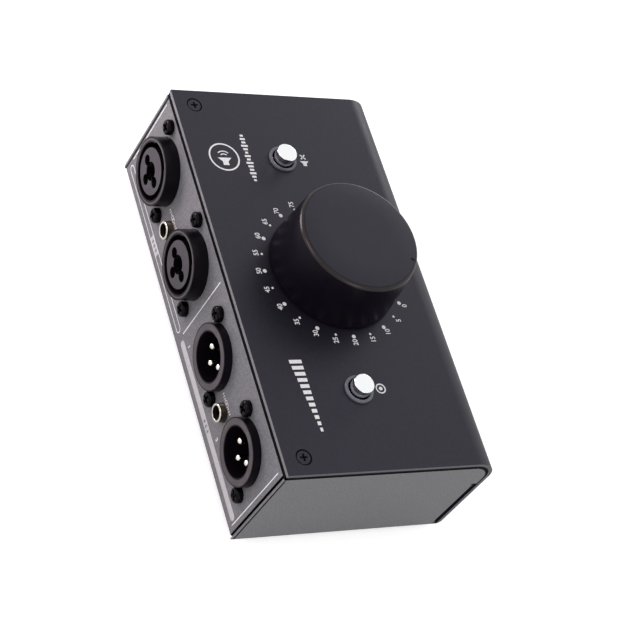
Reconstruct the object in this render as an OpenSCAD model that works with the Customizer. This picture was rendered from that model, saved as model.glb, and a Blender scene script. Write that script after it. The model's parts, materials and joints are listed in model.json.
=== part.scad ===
// Desktop monitor controller: a passive volume box with one large dial, two push buttons on top
// and the sockets on the rear. Millimetres, +Z up. The origin lies on the table under the middle of
// the whole thing, +X is to the user's right and +Y points to the rear, where the sockets are.

/* [Housing] */
// Length of the housing, along X
body_l = 145; // [142:1:170]
// Depth of the housing, along Y
body_d = 78.6; // [74:0.2:100]
// Height of the housing without its feet
body_h = 44; // [41:1:60]
// Thickness of the black cover sheet
cover_t = 1.3; // [1.3:0.1:2]
// Thickness of the grey chassis sheet
sheet_t = 0.8; // [0.8:0.1:1.5]
// Outer radius of the cover's bend at the top of the front
front_bend_r = 9; // [5:0.5:10]
// Outer radius of the cover's bend at the bottom of the front
lip_bend_r = 2.4; // [2.2:0.1:3]
// Depth of the cover's lip over the floor
lip_depth = 12; // [10:1:16]
// Outer radius of the chassis bends
sheet_bend_r = 1.8; // [1.6:0.1:2.4]
// Dark gap between the top of the chassis walls and the cover
seam = 1.6; // [0.3:0.1:2]
// Gap between the front edge of the end walls and the cover
front_gap = 0.6; // [0.3:0.1:1.2]
// Gap between the rear wall and each end wall
corner_gap = 1; // [0.3:0.1:1.2]
// Width of the inward flange at the front edge of each end wall
flange_w = 8; // [5:1:12]
// Height of that flange
flange_h = 28; // [15:1:30]
// Height of the bend relief over that flange
relief_h = 1; // [0.5:0.1:2]

/* [Feet and housing screws] */
// Diameter of a rubber foot
foot_d = 10; // [8:1:12]
// Height of a rubber foot
foot_h = 2.5; // [2.2:0.1:5]
// Distance from the middle of a foot to the housing's end
foot_inset_x = 12.5; // [10:0.5:16]
// Distance from the middle of a foot to the housing's front or rear
foot_inset_y = 10.5; // [8:0.5:14]
// Thread diameter of the housing and board screws
screw_d = 3; // [2.5:0.1:3.5]
// Head diameter of the two countersunk cover screws
csk_head_d = 5.5; // [5.2:0.1:5.5]
// Distance from a cover screw to the housing's end
csk_inset_x = 6; // [5.5:0.5:8]
// Distance from a cover screw to the rear
csk_inset_y = 7.2; // [6.5:0.1:9]
// Length of a cover screw
csk_l = 5; // [4:0.5:5]
// Side of a fixing bracket's leaves
bracket_w = 10; // [9:0.5:11]
// Head diameter of the base and board screws
pan_head_d = 5.5; // [5:0.1:6]
// Head height of the base and board screws
pan_head_h = 1.8; // [1.4:0.1:2]
// Distance from a base screw to the housing's end
base_screw_x = 25; // [22:0.5:40]
// Distance from a base screw to the front
base_screw_y = 7; // [6:0.5:9]
// Length of a base screw's shank
base_screw_l = 5; // [3.5:0.5:8]

/* [Dial] */
// Place of the dial's axis along X
dial_x = 0.5; // [-1:0.1:1]
// Place of the dial's axis from the middle of the housing's depth
dial_y = 0.3; // [-1:0.1:1]
// Least gap between the controls and the connector board
control_gap = 1; // [0.8:0.1:2]
// Diameter of the knob at its foot
knob_foot_d = 45; // [40:0.5:48]
// Diameter of the knob at its top
knob_top_d = 41.7; // [36:0.1:44]
// Height of the knob
knob_h = 20.9; // [18:0.1:24]
// Radius of the knob's shoulder
knob_shoulder_r = 1.8; // [1:0.1:2.5]
// Gap between the knob and the cover
knob_gap = 0.6; // [0.4:0.1:1.5]
// Wall of the knob
knob_wall = 2.4; // [1.8:0.1:3]
// Thickness of the knob's top
knob_top_t = 3.5; // [2.5:0.1:4]
// Diameter of the brass insert in the knob
insert_d = 10; // [9.6:0.1:11]
// Wall of the knob's boss around the insert
boss_wall = 2; // [1.5:0.1:3]
// Width of the pointer notch in the knob's top edge
notch_w = 1.2; // [0.8:0.1:2]
// Length of the pointer notch
notch_l = 2.6; // [2:0.1:5]
// Direction of the notch at rest, counted from +X
zero_angle = 240; // [225:1:245]

/* [Potentiometer] */
// Diameter of the shaft
shaft_d = 6; // [5.5:0.1:6.35]
// Depth of the shaft's flat
shaft_flat = 1.5; // [1:0.1:2]
// Running clearance of the shaft in its bush
shaft_clear = 0.03; // [0.02:0.01:0.06]
// Thread diameter of the bush
bush_d = 9; // [8.5:0.1:9.2]
// Length of the bush above the cover
bush_h = 5; // [4.5:0.1:6]
// Thickness of the bush's mounting plate
plate_t = 1; // [0.8:0.1:1.5]
// Side of the square case
pot_w = 17; // [16.5:0.1:20]
// Wall of the case
pot_wall = 1.1; // [1:0.1:1.3]
// Thickness of a wiper disc and of a track wafer
wafer_t = 0.9; // [0.6:0.1:1]
// Width across the flats of the nut
nut_af = 11; // [10.5:0.1:12]
// Thickness of the nut
nut_h = 2.2; // [1.8:0.1:2.4]
// Diameter of the washer
washer_d = 14; // [13:0.5:16]
// Thickness of the washer
washer_t = 0.5; // [0.4:0.1:0.8]

/* [Buttons] */
// Distance of a button from the housing's end, were the dial in the very middle
button_inset = 28; // [24:0.5:31]
// Place of the buttons from the middle of the housing's depth
button_y = 5.1; // [0:0.1:6]
// Diameter of a button cap
cap_d = 7.1; // [6.6:0.1:7.4]
// Height of a button cap above the cover
cap_rise = 4.4; // [3.6:0.1:5]
// Gap around a button cap
cap_gap = 0.3; // [0.25:0.05:0.4]
// Diameter of a bezel ring
bezel_d = 10; // [9.6:0.1:12]
// Height of a bezel ring above the cover
bezel_rise = 0.8; // [0.6:0.1:1.2]
// Width of the raised rim of a bezel ring
bezel_rim = 1; // [0.7:0.1:1.1]
// Wall of a bezel's neck in the cover
bezel_wall = 0.5; // [0.4:0.1:0.8]
// Travel of a button
button_travel = 2.5; // [1.5:0.1:2.8]
// Side of a switch case
switch_w = 8.5; // [8:0.1:10]
// Height of a switch case
switch_h = 7.8; // [7.6:0.1:8]
// Wall of a switch case
switch_wall = 0.9; // [0.8:0.1:1]
// Side of a plunger's square stem
stem_w = 3; // [2.6:0.1:3.1]
// Thickness of a plunger's collar
collar_t = 1; // [0.8:0.1:1.2]
// Wire diameter of a return spring
spring_wire = 0.4; // [0.3:0.05:0.4]
// Turns of a return spring
spring_turns = 4; // [3:1:4]

/* [Boards] */
// Thickness of both boards
board_t = 1.6; // [1.2:0.1:1.8]
// Height of the spacers between the cover and the control board
spacer_h = 12; // [12:0.5:13]
// Width across the flats of a spacer
spacer_af = 5.5; // [5:0.1:6]
// Distance from the control board's ends to the housing's ends
board_inset_x = 10.5; // [10:0.5:14]
// Distance from the control board's front edge to the housing's front
board_inset_y = 8; // [7:0.5:10]
// Distance from the spacers to the control board's edges
spacer_inset = 5; // [4.5:0.5:7]
// Width of the ribbon cable
ribbon_w = 13; // [10:1:16]
// Thickness of the ribbon cable
ribbon_t = 0.9; // [0.7:0.1:1.2]
// Length of a cable header
header_l = 17; // [17:1:22]
// Width and height of a cable header
header_w = 5; // [4:0.5:6]
// Gap between the lower header and the middle of the small input jack
header_gap = 3; // [2.6:0.1:4]
// Drop of the cable from the control board to the lower header
ribbon_drop = 16.7; // [15.5:0.1:17.5]
// Radius of the cable's bend
ribbon_r = 4; // [3:0.5:4]

/* [Rear sockets] */
// Depth of the socket bodies behind the rear wall
socket_depth = 24; // [24:0.5:26]
// Side of the socket bodies behind their flanges
socket_body_w = 24; // [23:0.5:24.5]
// Least gap between the outer sockets and the end walls
socket_end_gap = 2; // [1.5:0.1:2.5]
// Share of the spare wall length that lies to the right of the inputs
input_share = 0.285; // [0.1:0.005:0.4]
// Share of the spare wall length that lies to the left of the outputs
output_share = 0.222; // [0.1:0.001:0.4]
// Thickness of the socket flanges
socket_flange_t = 2.5; // [2:0.1:3]
// Thread diameter of the socket screws
socket_screw_d = 2.6; // [2.2:0.1:3]
// Head diameter of the socket screws
socket_head_d = 5.3; // [4.8:0.1:5.6]
// Head height of the socket screws
socket_head_h = 2.2; // [1.8:0.1:2.6]
// Length of the socket screws' shanks
socket_screw_l = 10; // [6:0.5:12]

/* [Combination inputs] */
// Distance between the two combination sockets
combo_pitch = 37.2; // [36:0.1:38]
// Distance of their axes below the cover
combo_drop = 17.3; // [17:0.1:19]
// Outer diameter of the ring
combo_ring_d = 23.3; // [22.8:0.1:24]
// Height of the ring in front of the rear wall
combo_proud = 5.2; // [3.5:0.1:6]
// Outer diameter of the groove in the ring
combo_groove_d = 19.6; // [19.2:0.1:20]
// Depth of the groove from the ring's front
combo_groove_l = 13; // [11:0.5:15]
// Diameter of the round insert
combo_insert_d = 16; // [15.6:0.1:16.4]
// Diameter of the bore for a quarter inch plug
plug_bore_d = 6.5; // [6.4:0.05:6.6]
// Length of that bore
plug_bore_l = 27; // [26:0.5:27]
// Distance of the contact holes from the socket's axis
combo_contact_r = 4.6; // [4.4:0.1:4.8]
// Diameter of a contact hole's mouth
combo_lobe_d = 3.8; // [3.4:0.1:4]
// Depth of a contact hole's mouth
combo_lobe_l = 1.5; // [1:0.1:2]
// Diameter of a contact sleeve
combo_sleeve_d = 2.2; // [2:0.1:2.2]
// Distance from the ring's screws to the axis, along X
combo_screw_x = 9.5; // [9:0.1:10]
// Distance from the ring's screws to the axis, along Z
combo_screw_z = 12; // [11.5:0.1:12.5]

/* [Pin outputs] */
// Distance between the two three-pin sockets
xlr_pitch = 34.4; // [34:0.1:36]
// Distance of their axes below the cover
xlr_drop = 19.2; // [17:0.1:21]
// Outer diameter of the ring
xlr_ring_d = 22; // [21.5:0.1:22.6]
// Height of the ring in front of the rear wall
xlr_proud = 2.8; // [2:0.1:3.4]
// Diameter of the hollow
xlr_hollow_d = 16.3; // [15.9:0.1:17]
// Depth of the hollow from the ring's front
xlr_hollow_l = 15; // [14:0.5:16]
// Distance of the pins from the socket's axis
xlr_pin_r = 3.95; // [3.8:0.05:4.1]
// Diameter of a pin
xlr_pin_d = 2.4; // [2.2:0.1:2.6]
// Distance from the pins' tips to the ring's front
xlr_pin_back = 1.8; // [1:0.1:3]
// Distance from the ring's screws to the axis, along X and along Z
xlr_screw = 9.9; // [9.6:0.1:10.2]

/* [Small jacks] */
// Distance of their axes below the cover
jack_drop = 24.9; // [18:0.1:27]
// Bore for a 3.5 mm plug
jack_bore_d = 3.6; // [3.55:0.05:3.7]
// Outer diameter of the metal collar
jack_collar_d = 6.2; // [5.8:0.1:6.6]
// Height of the collar in front of the rear wall
jack_proud = 2.5; // [1.5:0.1:3]
// Width of the jack's body
jack_w = 7; // [6.6:0.1:7.4]
// Height of the jack's body
jack_h = 9; // [8:0.5:11]
// Length of the jack's body
jack_l = 14; // [13:0.5:16]

/* [Hidden] */
$fn = 64;

eps = 0.01;          // how far a cut runs past the face it opens
thread_clear = 0.02; // gap between a screw and its threaded hole
loose = 0.2;         // gap between a screw and the sheet or board it passes through

// Levels and planes of the housing
half_l = body_l / 2;
mid_y = -combo_proud / 2;
rear_y = mid_y + body_d / 2;
front_y = mid_y - body_d / 2;
base_z = foot_h;
top_z = base_z + body_h;
floor_z = base_z + sheet_t;
roof_z = top_z - cover_t;
wall_top = roof_z - seam;
wall_front = front_y + cover_t + front_gap;
rear_half = half_l - sheet_t - corner_gap;
lip_z = floor_z + front_gap / 3;
csk_h = (csk_head_d - screw_d) / 2;
foot_x = half_l - foot_inset_x;
foot_y = body_d / 2 - foot_inset_y;

// Levels of the boards
board_top = roof_z - spacer_h;
board_low = board_top - board_t;
board_half = half_l - board_inset_x;
board_front = front_y + board_inset_y;
wall_board_y = rear_y - sheet_t - socket_depth;
wall_board_front = wall_board_y - board_t;
board_rear = wall_board_front - 1.2;
wall_board_low = floor_z + 1;
wall_board_high = roof_z - 2;
wall_board_half = half_l - 6;
spacer_xs = [-board_half + spacer_inset, board_half - spacer_inset];
spacer_ys = [board_front + spacer_inset, board_rear - spacer_inset];

// Levels of the dial
dial_ay = min(mid_y + dial_y, wall_board_front - control_gap - pot_w / 2);
bush_top = top_z + bush_h;
knob_foot_z = top_z + knob_gap;
knob_top_z = knob_foot_z + knob_h;
knob_ceiling = knob_top_z - knob_top_t;
nut_top = top_z + washer_t + nut_h;
boss_z = nut_top + 0.8;
insert_z = bush_top + 0.6;
case_top = roof_z - plate_t;
chamber_low = board_top + pot_wall;
chamber_high = case_top - pot_wall;
chamber_d = pot_w - 2 * pot_wall;
gang_gap = 0.5;
hub_d = shaft_d + 2;
lower_track_z = chamber_low + 0.3;
lower_wiper_z = lower_track_z + wafer_t + gang_gap;
upper_track_z = lower_wiper_z + wafer_t + 1.4;
upper_wiper_z = upper_track_z + wafer_t + gang_gap;
terminal_d = 0.8;
terminal_pitch = 4;

// Levels of a button
button_x = half_l - button_inset;
button_ay = min(mid_y + button_y, wall_board_front - control_gap - switch_w / 2);
bezel_bore = cap_d + 2 * cap_gap;
bezel_neck = bezel_bore + 2 * bezel_wall;
cap_top = top_z + cap_rise;
cap_h = 6.6;
cap_low = cap_top - cap_h;
switch_top = board_top + switch_h;
switch_floor = board_top + 1.1;
switch_roof = switch_top - switch_wall;
collar_w = switch_w - 2 * switch_wall - 0.8;
collar_high = switch_roof - 0.3;
collar_low = collar_high - collar_t;
stem_low = switch_floor + button_travel + 0.4;
stem_high = cap_top - 2;
spring_r = (collar_w - spring_wire) / 2 - 0.2;
spring_low = switch_floor + spring_wire / 2;
spring_high = collar_low - 0.1 - spring_wire / 2;

// Places of the sockets on the rear wall. The inputs are one group and the outputs another, and
// what the two groups leave of the wall's length is shared out between them and the ends.
combo_flange = [26, 31];
xlr_flange = [26, 26];
inputs_half = (combo_pitch + combo_flange[0]) / 2;
outputs_half = (xlr_pitch + xlr_flange[0]) / 2;
socket_span = half_l - sheet_t - socket_end_gap;
spare_l = 2 * (socket_span - inputs_half - outputs_half);
inputs_x = socket_span - inputs_half - input_share * spare_l;
outputs_x = output_share * spare_l + outputs_half - socket_span;
combo_xs = [inputs_x + combo_pitch / 2, inputs_x - combo_pitch / 2];
xlr_xs = [outputs_x + xlr_pitch / 2, outputs_x - xlr_pitch / 2];
jack_xs = [inputs_x, outputs_x];
combo_z = body_h - cover_t - combo_drop;
xlr_z = body_h - cover_t - xlr_drop;
jack_z = body_h - cover_t - jack_drop;

// Sockets, counted from the outside of the rear wall: inwards is negative
socket_back = -sheet_t - socket_depth;
tail_end = socket_back - board_t - 0.8;
insert_back = socket_back + 2;
sleeve_front = combo_proud - combo_lobe_l - 0.8;
sleeve_l = 11;
tail_d = 0.9;
spring_strip = [1.6, 0.4];
strip_r = plug_bore_d / 2 + 0.05;
strip_front = combo_proud - 9;
strip_angles = [-90, 45];
xlr_floor = xlr_proud - xlr_hollow_l;
xlr_tip = xlr_proud - xlr_pin_back;
contact_angles = [0, 90, 180];
jack_back = -sheet_t - jack_l;
jack_wire_xs = [-2, 0, 2];
screw_pilot = socket_screw_d + 2 * thread_clear;

// ---------- helpers ----------

// A rectangle about the middle with rounded corners
module rounded(w, h, r) {
    square([w - 2 * r, h], center = true);
    square([w, h - 2 * r], center = true);
    for (x = [-1, 1], y = [-1, 1]) translate([x * (w / 2 - r), y * (h / 2 - r)]) circle(r);
}

// A rectangle from (x0, y0) to (x1, y1) whose low corner at x0 has radius r
module one_round(x0, y0, x1, y1, r) {
    translate([x0 + r, y0 + r]) circle(r);
    polygon([[x0, y0 + r], [x0 + r, y0], [x1, y0], [x1, y1], [x0, y1]]);
}

// Side outline, drawn in (Y, Z), with a rounded top and bottom at the front
module side_outline(y0, z0, y1, z1, r_top, r_low) {
    translate([y0 + r_top, z1 - r_top]) circle(r_top);
    translate([y0 + r_low, z0 + r_low]) circle(r_low);
    polygon([[y0, z0 + r_low], [y0 + r_low, z0], [y1, z0], [y1, z1], [y0 + r_top, z1], [y0, z1 - r_top]]);
}

// Sweeps a (Y, Z) outline along X, from x0 to x1
module along_x(x0, x1) {
    translate([x0, 0, 0]) rotate([90, 0, 90]) linear_extrude(x1 - x0) children();
}

// Sweeps an (X, Z) outline along Y, from y0 to y1
module along_y(y0, y1) {
    translate([0, y1, 0]) rotate([90, 0, 0]) linear_extrude(y1 - y0) children();
}

module both_ends() {
    children();
    mirror([1, 0, 0]) children();
}

// Stands its children on the rear wall: their +Z points out of it and their -Y points up
module on_rear(x, z) {
    translate([x, rear_y, base_z + z]) rotate([-90, 0, 0]) children();
}

// A round bar or hole from level z0 to level z1
module rod(d, z0, z1) {
    translate([0, 0, z0]) cylinder(d = d, h = z1 - z0);
}

// A block about the Z axis from level z0 to level z1
module block(w, d, z0, z1) {
    translate([-w / 2, -d / 2, z0]) cube([w, d, z1 - z0]);
}

// The cross recess in a screw head whose top is at level z
module cross_recess(z, size, depth) {
    for (a = [0, 90]) rotate(a) block(size, size / 4.5, z - depth, z + eps);
}

// A pan-head screw: its shank hangs from the origin and its head stands on it
module pan_screw(shank_d, shank_l, head_d, head_h) {
    edge = head_h / 3;
    difference() {
        union() {
            rod(shank_d, -shank_l, eps);
            rod(head_d, 0, head_h - edge);
            translate([0, 0, head_h - edge]) cylinder(d1 = head_d, d2 = head_d - 2 * edge, h = edge);
        }
        cross_recess(head_h, head_d * 0.6, head_h * 0.6);
    }
}

module on_dial() {
    translate([dial_x, dial_ay, 0]) children();
}

module on_button(side) {
    translate([dial_x + side * button_x, button_ay, 0]) children();
}

module combo_screw_places() {
    for (s = [-1, 1]) translate([s * combo_screw_x, -s * combo_screw_z, 0]) children();
}

module xlr_screw_places() {
    for (s = [-1, 1]) translate([s * xlr_screw, -s * xlr_screw, 0]) children();
}

// ---------- housing ----------

// Floor and end walls as one folded strip
module folded_strip() {
    module fold(inset) {
        r = sheet_bend_r - inset;
        x = half_l - inset;
        z = base_z + inset;
        for (s = [-1, 1]) translate([s * (x - r), z + r]) circle(r);
        polygon([[-x, top_z], [-x, z + r], [r - x, z], [x - r, z], [x, z + r], [x, top_z]]);
    }
    intersection() {
        along_y(front_y, rear_y) difference() {
            fold(0);
            fold(sheet_t);
        }
        along_x(-half_l, half_l) {
            side_outline(wall_front, base_z, rear_y, wall_top, front_bend_r - cover_t - front_gap, eps);
            translate([front_y + 0.3, base_z]) square([body_d - 1, sheet_t]);
        }
    }
}

// Rear wall with its bend into the floor, drawn from the rear edge inwards
module rear_wall() {
    along_x(-rear_half, rear_half) mirror([1, 0]) difference() {
        one_round(-rear_y, base_z, 10 - rear_y, wall_top, sheet_bend_r);
        one_round(sheet_t - rear_y, floor_z, 11 - rear_y, top_z, sheet_bend_r - sheet_t);
    }
}

// Inward flange at the front edge of the left end wall
module front_flange() {
    translate([0, 0, floor_z + front_gap]) linear_extrude(flange_h) difference() {
        one_round(-half_l, wall_front, flange_w - half_l, wall_front + 4, sheet_bend_r);
        one_round(sheet_t - half_l, wall_front + sheet_t, half_l, wall_front + 5, sheet_bend_r - sheet_t);
    }
}

module chassis() {
    flange_cut = sheet_bend_r + 0.4;
    color([0.45, 0.45, 0.46]) difference() {
        union() {
            difference() {
                folded_strip();
                translate([-rear_half - corner_gap, rear_y - 3, base_z - 1])
                    cube([2 * (rear_half + corner_gap), 4, body_h]);
                both_ends() translate([-half_l - 1, wall_front - 1, floor_z + front_gap])
                    cube([flange_w + 1, flange_cut + 1, flange_h + relief_h]);
            }
            rear_wall();
            both_ends() front_flange();
        }
        for (x = combo_xs) on_rear(x, combo_z) {
            rod(combo_ring_d + 0.3, -sheet_t - 1, 1);
            combo_screw_places() rod(socket_screw_d + 2 * loose, -sheet_t - 1, 1);
        }
        for (x = xlr_xs) on_rear(x, xlr_z) {
            rod(xlr_ring_d + 0.3, -sheet_t - 1, 1);
            xlr_screw_places() rod(socket_screw_d + 2 * loose, -sheet_t - 1, 1);
        }
        for (x = jack_xs) on_rear(x, jack_z) rod(jack_collar_d + 0.3, -sheet_t - 1, 1);
        base_screw_places() rod(screw_d + 2 * loose, -1, sheet_t + 1);
    }
}

module base_screw_places() {
    for (s = [-1, 1]) translate([s * (half_l - base_screw_x), front_y + base_screw_y, base_z]) children();
}

module cover_screw_places() {
    for (s = [-1, 1]) translate([s * (half_l - csk_inset_x), rear_y - csk_inset_y, top_z]) children();
}

module countersink(grow) {
    translate([0, 0, -csk_h]) cylinder(d1 = screw_d + 2 * grow, d2 = csk_head_d + 2 * grow, h = csk_h);
}

module cover() {
    color([0.17, 0.17, 0.19]) difference() {
        along_x(-half_l, half_l) difference() {
            side_outline(front_y, lip_z, rear_y, top_z, front_bend_r, lip_bend_r);
            side_outline(front_y + cover_t, lip_z + cover_t, rear_y + 1, roof_z,
                front_bend_r - cover_t, lip_bend_r - cover_t);
            translate([front_y + lip_depth, lip_z - 1]) square([body_d, 1 + cover_t + 1]);
        }
        both_ends() translate([rear_half - flange_w, front_y + cover_t, lip_z - 1])
            cube([flange_w + 10, lip_depth, lip_bend_r + 1]);
        on_dial() rod(bush_d + 0.2, roof_z - 1, top_z + 1);
        for (s = [-1, 1]) on_button(s) rod(bezel_neck, roof_z - 1, top_z + 1);
        cover_screw_places() {
            countersink(thread_clear);
            rod(screw_d + 2 * thread_clear, -cover_t - 1, -csk_h + eps);
            rod(csk_head_d + 2 * thread_clear, -eps, 1);
        }
        base_screw_places() rod(screw_d + 2 * thread_clear, 0, sheet_t + cover_t + 1);
    }
}

// Angle pieces welded inside the end walls, which the cover screws go into
module fixing_brackets() {
    y0 = rear_y - csk_inset_y - bracket_w / 2;
    color([0.7, 0.7, 0.72]) both_ends() difference() {
        translate([half_l - sheet_t, y0, roof_z]) mirror([1, 0, 1]) union() {
            cube([sheet_t, bracket_w, bracket_w]);
            cube([bracket_w, bracket_w, sheet_t]);
        }
        cover_screw_places() rod(screw_d + 2 * thread_clear, -2 * bracket_w, 1);
    }
}

module cover_screws() {
    color([0.08, 0.08, 0.09]) cover_screw_places() difference() {
        union() {
            countersink(0);
            rod(screw_d, -csk_l, -csk_h + eps);
        }
        cross_recess(0, csk_head_d * 0.6, csk_h * 0.9);
    }
}

module base_screws() {
    color([0.08, 0.08, 0.09]) base_screw_places() mirror([0, 0, 1])
        pan_screw(screw_d, base_screw_l, pan_head_d, pan_head_h);
}

module feet() {
    edge = 0.5;
    color([0.06, 0.06, 0.06]) for (x = [-foot_x, foot_x], y = [-foot_y, foot_y])
        translate([x, mid_y + y, 0]) {
            cylinder(d1 = foot_d - 2 * edge, d2 = foot_d, h = edge);
            rod(foot_d, edge, foot_h);
        }
}

// ---------- dial ----------

module knob() {
    slope = (knob_foot_d - knob_top_d) / 2 / knob_h;
    top_r = knob_top_d / 2;
    foot_r = knob_foot_d / 2;
    s = knob_shoulder_r;
    color([0.12, 0.12, 0.13]) on_dial() difference() {
        rotate_extrude() {
            polygon([[0, knob_foot_z], [foot_r, knob_foot_z], [top_r + slope * s, knob_top_z - s],
                [top_r - s, knob_top_z], [0, knob_top_z]]);
            translate([top_r - s, knob_top_z - s]) circle(s);
        }
        difference() {
            rod(2 * (top_r - knob_wall), knob_foot_z - 1, knob_ceiling);
            rod(insert_d + 2 * boss_wall, boss_z, knob_top_z);
        }
        rod(insert_d, knob_foot_z - 1, knob_ceiling);
        rotate(zero_angle) translate([top_r - notch_l, -notch_w / 2, knob_top_z - 0.6])
            cube([notch_l + 2, notch_w, 1]);
    }
}

// Round shaft with a flat on its upper part, seen by its hole when grown
module shaft_outline(z0, z1, flat_z) {
    difference() {
        rod(shaft_d, z0, z1);
        rotate(zero_angle) translate([shaft_d / 2 - shaft_flat, -shaft_d, flat_z]) cube([shaft_d, 2 * shaft_d, z1]);
    }
}

module knob_insert() {
    color([0.8, 0.65, 0.3]) on_dial() difference() {
        rod(insert_d, insert_z, knob_ceiling);
        shaft_outline(insert_z - 1, knob_ceiling - 0.5, insert_z - 1);
    }
}

module pot_shaft() {
    color([0.75, 0.75, 0.77]) on_dial() shaft_outline(lower_track_z, knob_ceiling - 0.5, insert_z - 0.3);
}

module pot_rotor() {
    wiper_d = chamber_d - 1;
    color([0.55, 0.4, 0.2]) on_dial() difference() {
        union() {
            rod(wiper_d, lower_wiper_z, lower_wiper_z + wafer_t);
            rod(hub_d, lower_wiper_z, upper_wiper_z + wafer_t);
            rod(wiper_d, upper_wiper_z, upper_wiper_z + wafer_t);
        }
        rod(shaft_d, lower_track_z, top_z);
    }
}

module pot_bush() {
    color([0.78, 0.78, 0.8]) on_dial() difference() {
        union() {
            translate([0, 0, case_top]) linear_extrude(plate_t) rounded(pot_w, pot_w, 1.5);
            rod(bush_d, case_top, bush_top);
        }
        rod(shaft_d + 2 * shaft_clear, case_top - 1, bush_top + 1);
    }
}

module pot_case() {
    color([0.2, 0.3, 0.25]) on_dial() difference() {
        translate([0, 0, board_top]) linear_extrude(case_top - board_top) rounded(pot_w, pot_w, 1.5);
        rod(chamber_d, chamber_low, chamber_high);
        rod(shaft_d + 1, chamber_high - 1, case_top + 1);
        terminal_places() rod(terminal_d, board_top - 1, lower_track_z);
    }
}

// Two rows of three, under the two gangs
module terminal_places() {
    for (x = [-1, 0, 1], y = [-1, 1]) translate([x * terminal_pitch, y * (chamber_d / 2 - 2), 0]) children();
}

module pot_tracks() {
    color([0.35, 0.2, 0.1]) on_dial() for (z = [lower_track_z, upper_track_z]) difference() {
        rod(chamber_d, z, z + wafer_t);
        rod(hub_d + 1, z - 1, z + wafer_t + 1);
    }
}

module pot_terminals() {
    color([0.8, 0.8, 0.75]) on_dial() terminal_places() rod(terminal_d, board_low - 1, lower_track_z);
}

module pot_washer() {
    color([0.8, 0.8, 0.8]) on_dial() difference() {
        rod(washer_d, top_z, top_z + washer_t);
        rod(bush_d + 0.2, top_z - 1, top_z + washer_t + 1);
    }
}

module pot_nut() {
    color([0.8, 0.8, 0.8]) on_dial() difference() {
        translate([0, 0, top_z + washer_t]) cylinder(d = nut_af / cos(30), h = nut_h, $fn = 6);
        rod(bush_d + 2 * thread_clear, top_z, nut_top + 1);
    }
}

// ---------- buttons ----------

module button_cap(side) {
    edge = 0.35;
    color([0.85, 0.85, 0.87]) on_button(side) difference() {
        union() {
            rod(cap_d, cap_low, cap_top - edge);
            translate([0, 0, cap_top - edge]) cylinder(d1 = cap_d, d2 = cap_d - 2 * edge, h = edge);
        }
        block(stem_w, stem_w, cap_low - 1, stem_high);
    }
}

module bezel(side) {
    color([0.3, 0.3, 0.33]) on_button(side) difference() {
        union() {
            rod(bezel_d, top_z, top_z + bezel_rise);
            rod(bezel_neck, roof_z - 0.6, top_z + eps);
        }
        rod(bezel_bore, roof_z - 1, top_z + 2);
        rod(bezel_d - 2 * bezel_rim, top_z + bezel_rise / 2, top_z + 2);
    }
}

module plunger(side) {
    color([0.9, 0.9, 0.88]) on_button(side) {
        block(stem_w, stem_w, stem_low, stem_high);
        block(collar_w, collar_w, collar_low, collar_high);
    }
}

module switch_case(side) {
    inner = switch_w - 2 * switch_wall;
    color([0.2, 0.35, 0.6]) on_button(side) difference() {
        block(switch_w, switch_w, board_top, switch_top);
        block(inner, inner, switch_floor, switch_roof);
        block(stem_w + 0.7, stem_w + 0.7, switch_roof - 1, switch_top + 1);
        switch_pin_places() rod(terminal_d, board_top - 1, switch_floor + 1);
    }
}

module switch_pin_places() {
    for (x = [-1, 1], y = [-1, 0, 1]) translate([x * switch_w / 4, y * switch_w / 4, 0]) children();
}

module switch_terminals() {
    color([0.8, 0.8, 0.75]) for (s = [-1, 1]) on_button(s) switch_pin_places()
        rod(terminal_d, board_low - 1, switch_floor);
}

// Return spring: one round wire along a helix between the case's floor and the collar
module return_spring(side) {
    sides = 8;
    steps = 20 * spring_turns;
    rise = (spring_high - spring_low) / steps;
    ring_of = function(i) [for (k = [0:sides - 1])
        let (a = 360 * i / 20, b = 360 * k / sides, r = spring_r + spring_wire / 2 * cos(b))
        [r * cos(a), r * sin(a), spring_low + rise * i + spring_wire / 2 * sin(b)]];
    points = [for (i = [0:steps]) each ring_of(i)];
    quads = [for (i = [0:steps - 1], k = [0:sides - 1])
        [i * sides + k, (i + 1) * sides + k, (i + 1) * sides + (k + 1) % sides, i * sides + (k + 1) % sides]];
    ends = [[for (k = [0:sides - 1]) k], [for (k = [sides - 1:-1:0]) steps * sides + k]];
    color([0.7, 0.7, 0.7]) on_button(side) polyhedron(points, concat(quads, ends));
}

// ---------- boards ----------

module spacer_places() {
    for (x = spacer_xs, y = spacer_ys) translate([x, y, 0]) children();
}

module control_board() {
    color([0.1, 0.35, 0.15]) difference() {
        translate([-board_half, board_front, board_low]) cube([2 * board_half, board_rear - board_front, board_t]);
        spacer_places() rod(screw_d + 2 * loose, board_low - 1, board_top + 1);
        on_dial() terminal_places() rod(terminal_d, board_low - 1, board_top + 1);
        for (s = [-1, 1]) on_button(s) switch_pin_places() rod(terminal_d, board_low - 1, board_top + 1);
    }
}

module board_spacers() {
    color([0.75, 0.75, 0.78]) spacer_places() difference() {
        translate([0, 0, board_top]) cylinder(d = spacer_af / cos(30), h = spacer_h, $fn = 6);
        rod(screw_d + 2 * thread_clear, board_top - 1, board_top + spacer_h - 3);
    }
}

module board_screws() {
    color([0.7, 0.7, 0.72]) spacer_places() translate([0, 0, board_low]) mirror([0, 0, 1])
        pan_screw(screw_d, board_t + 5, pan_head_d, pan_head_h);
}

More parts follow.
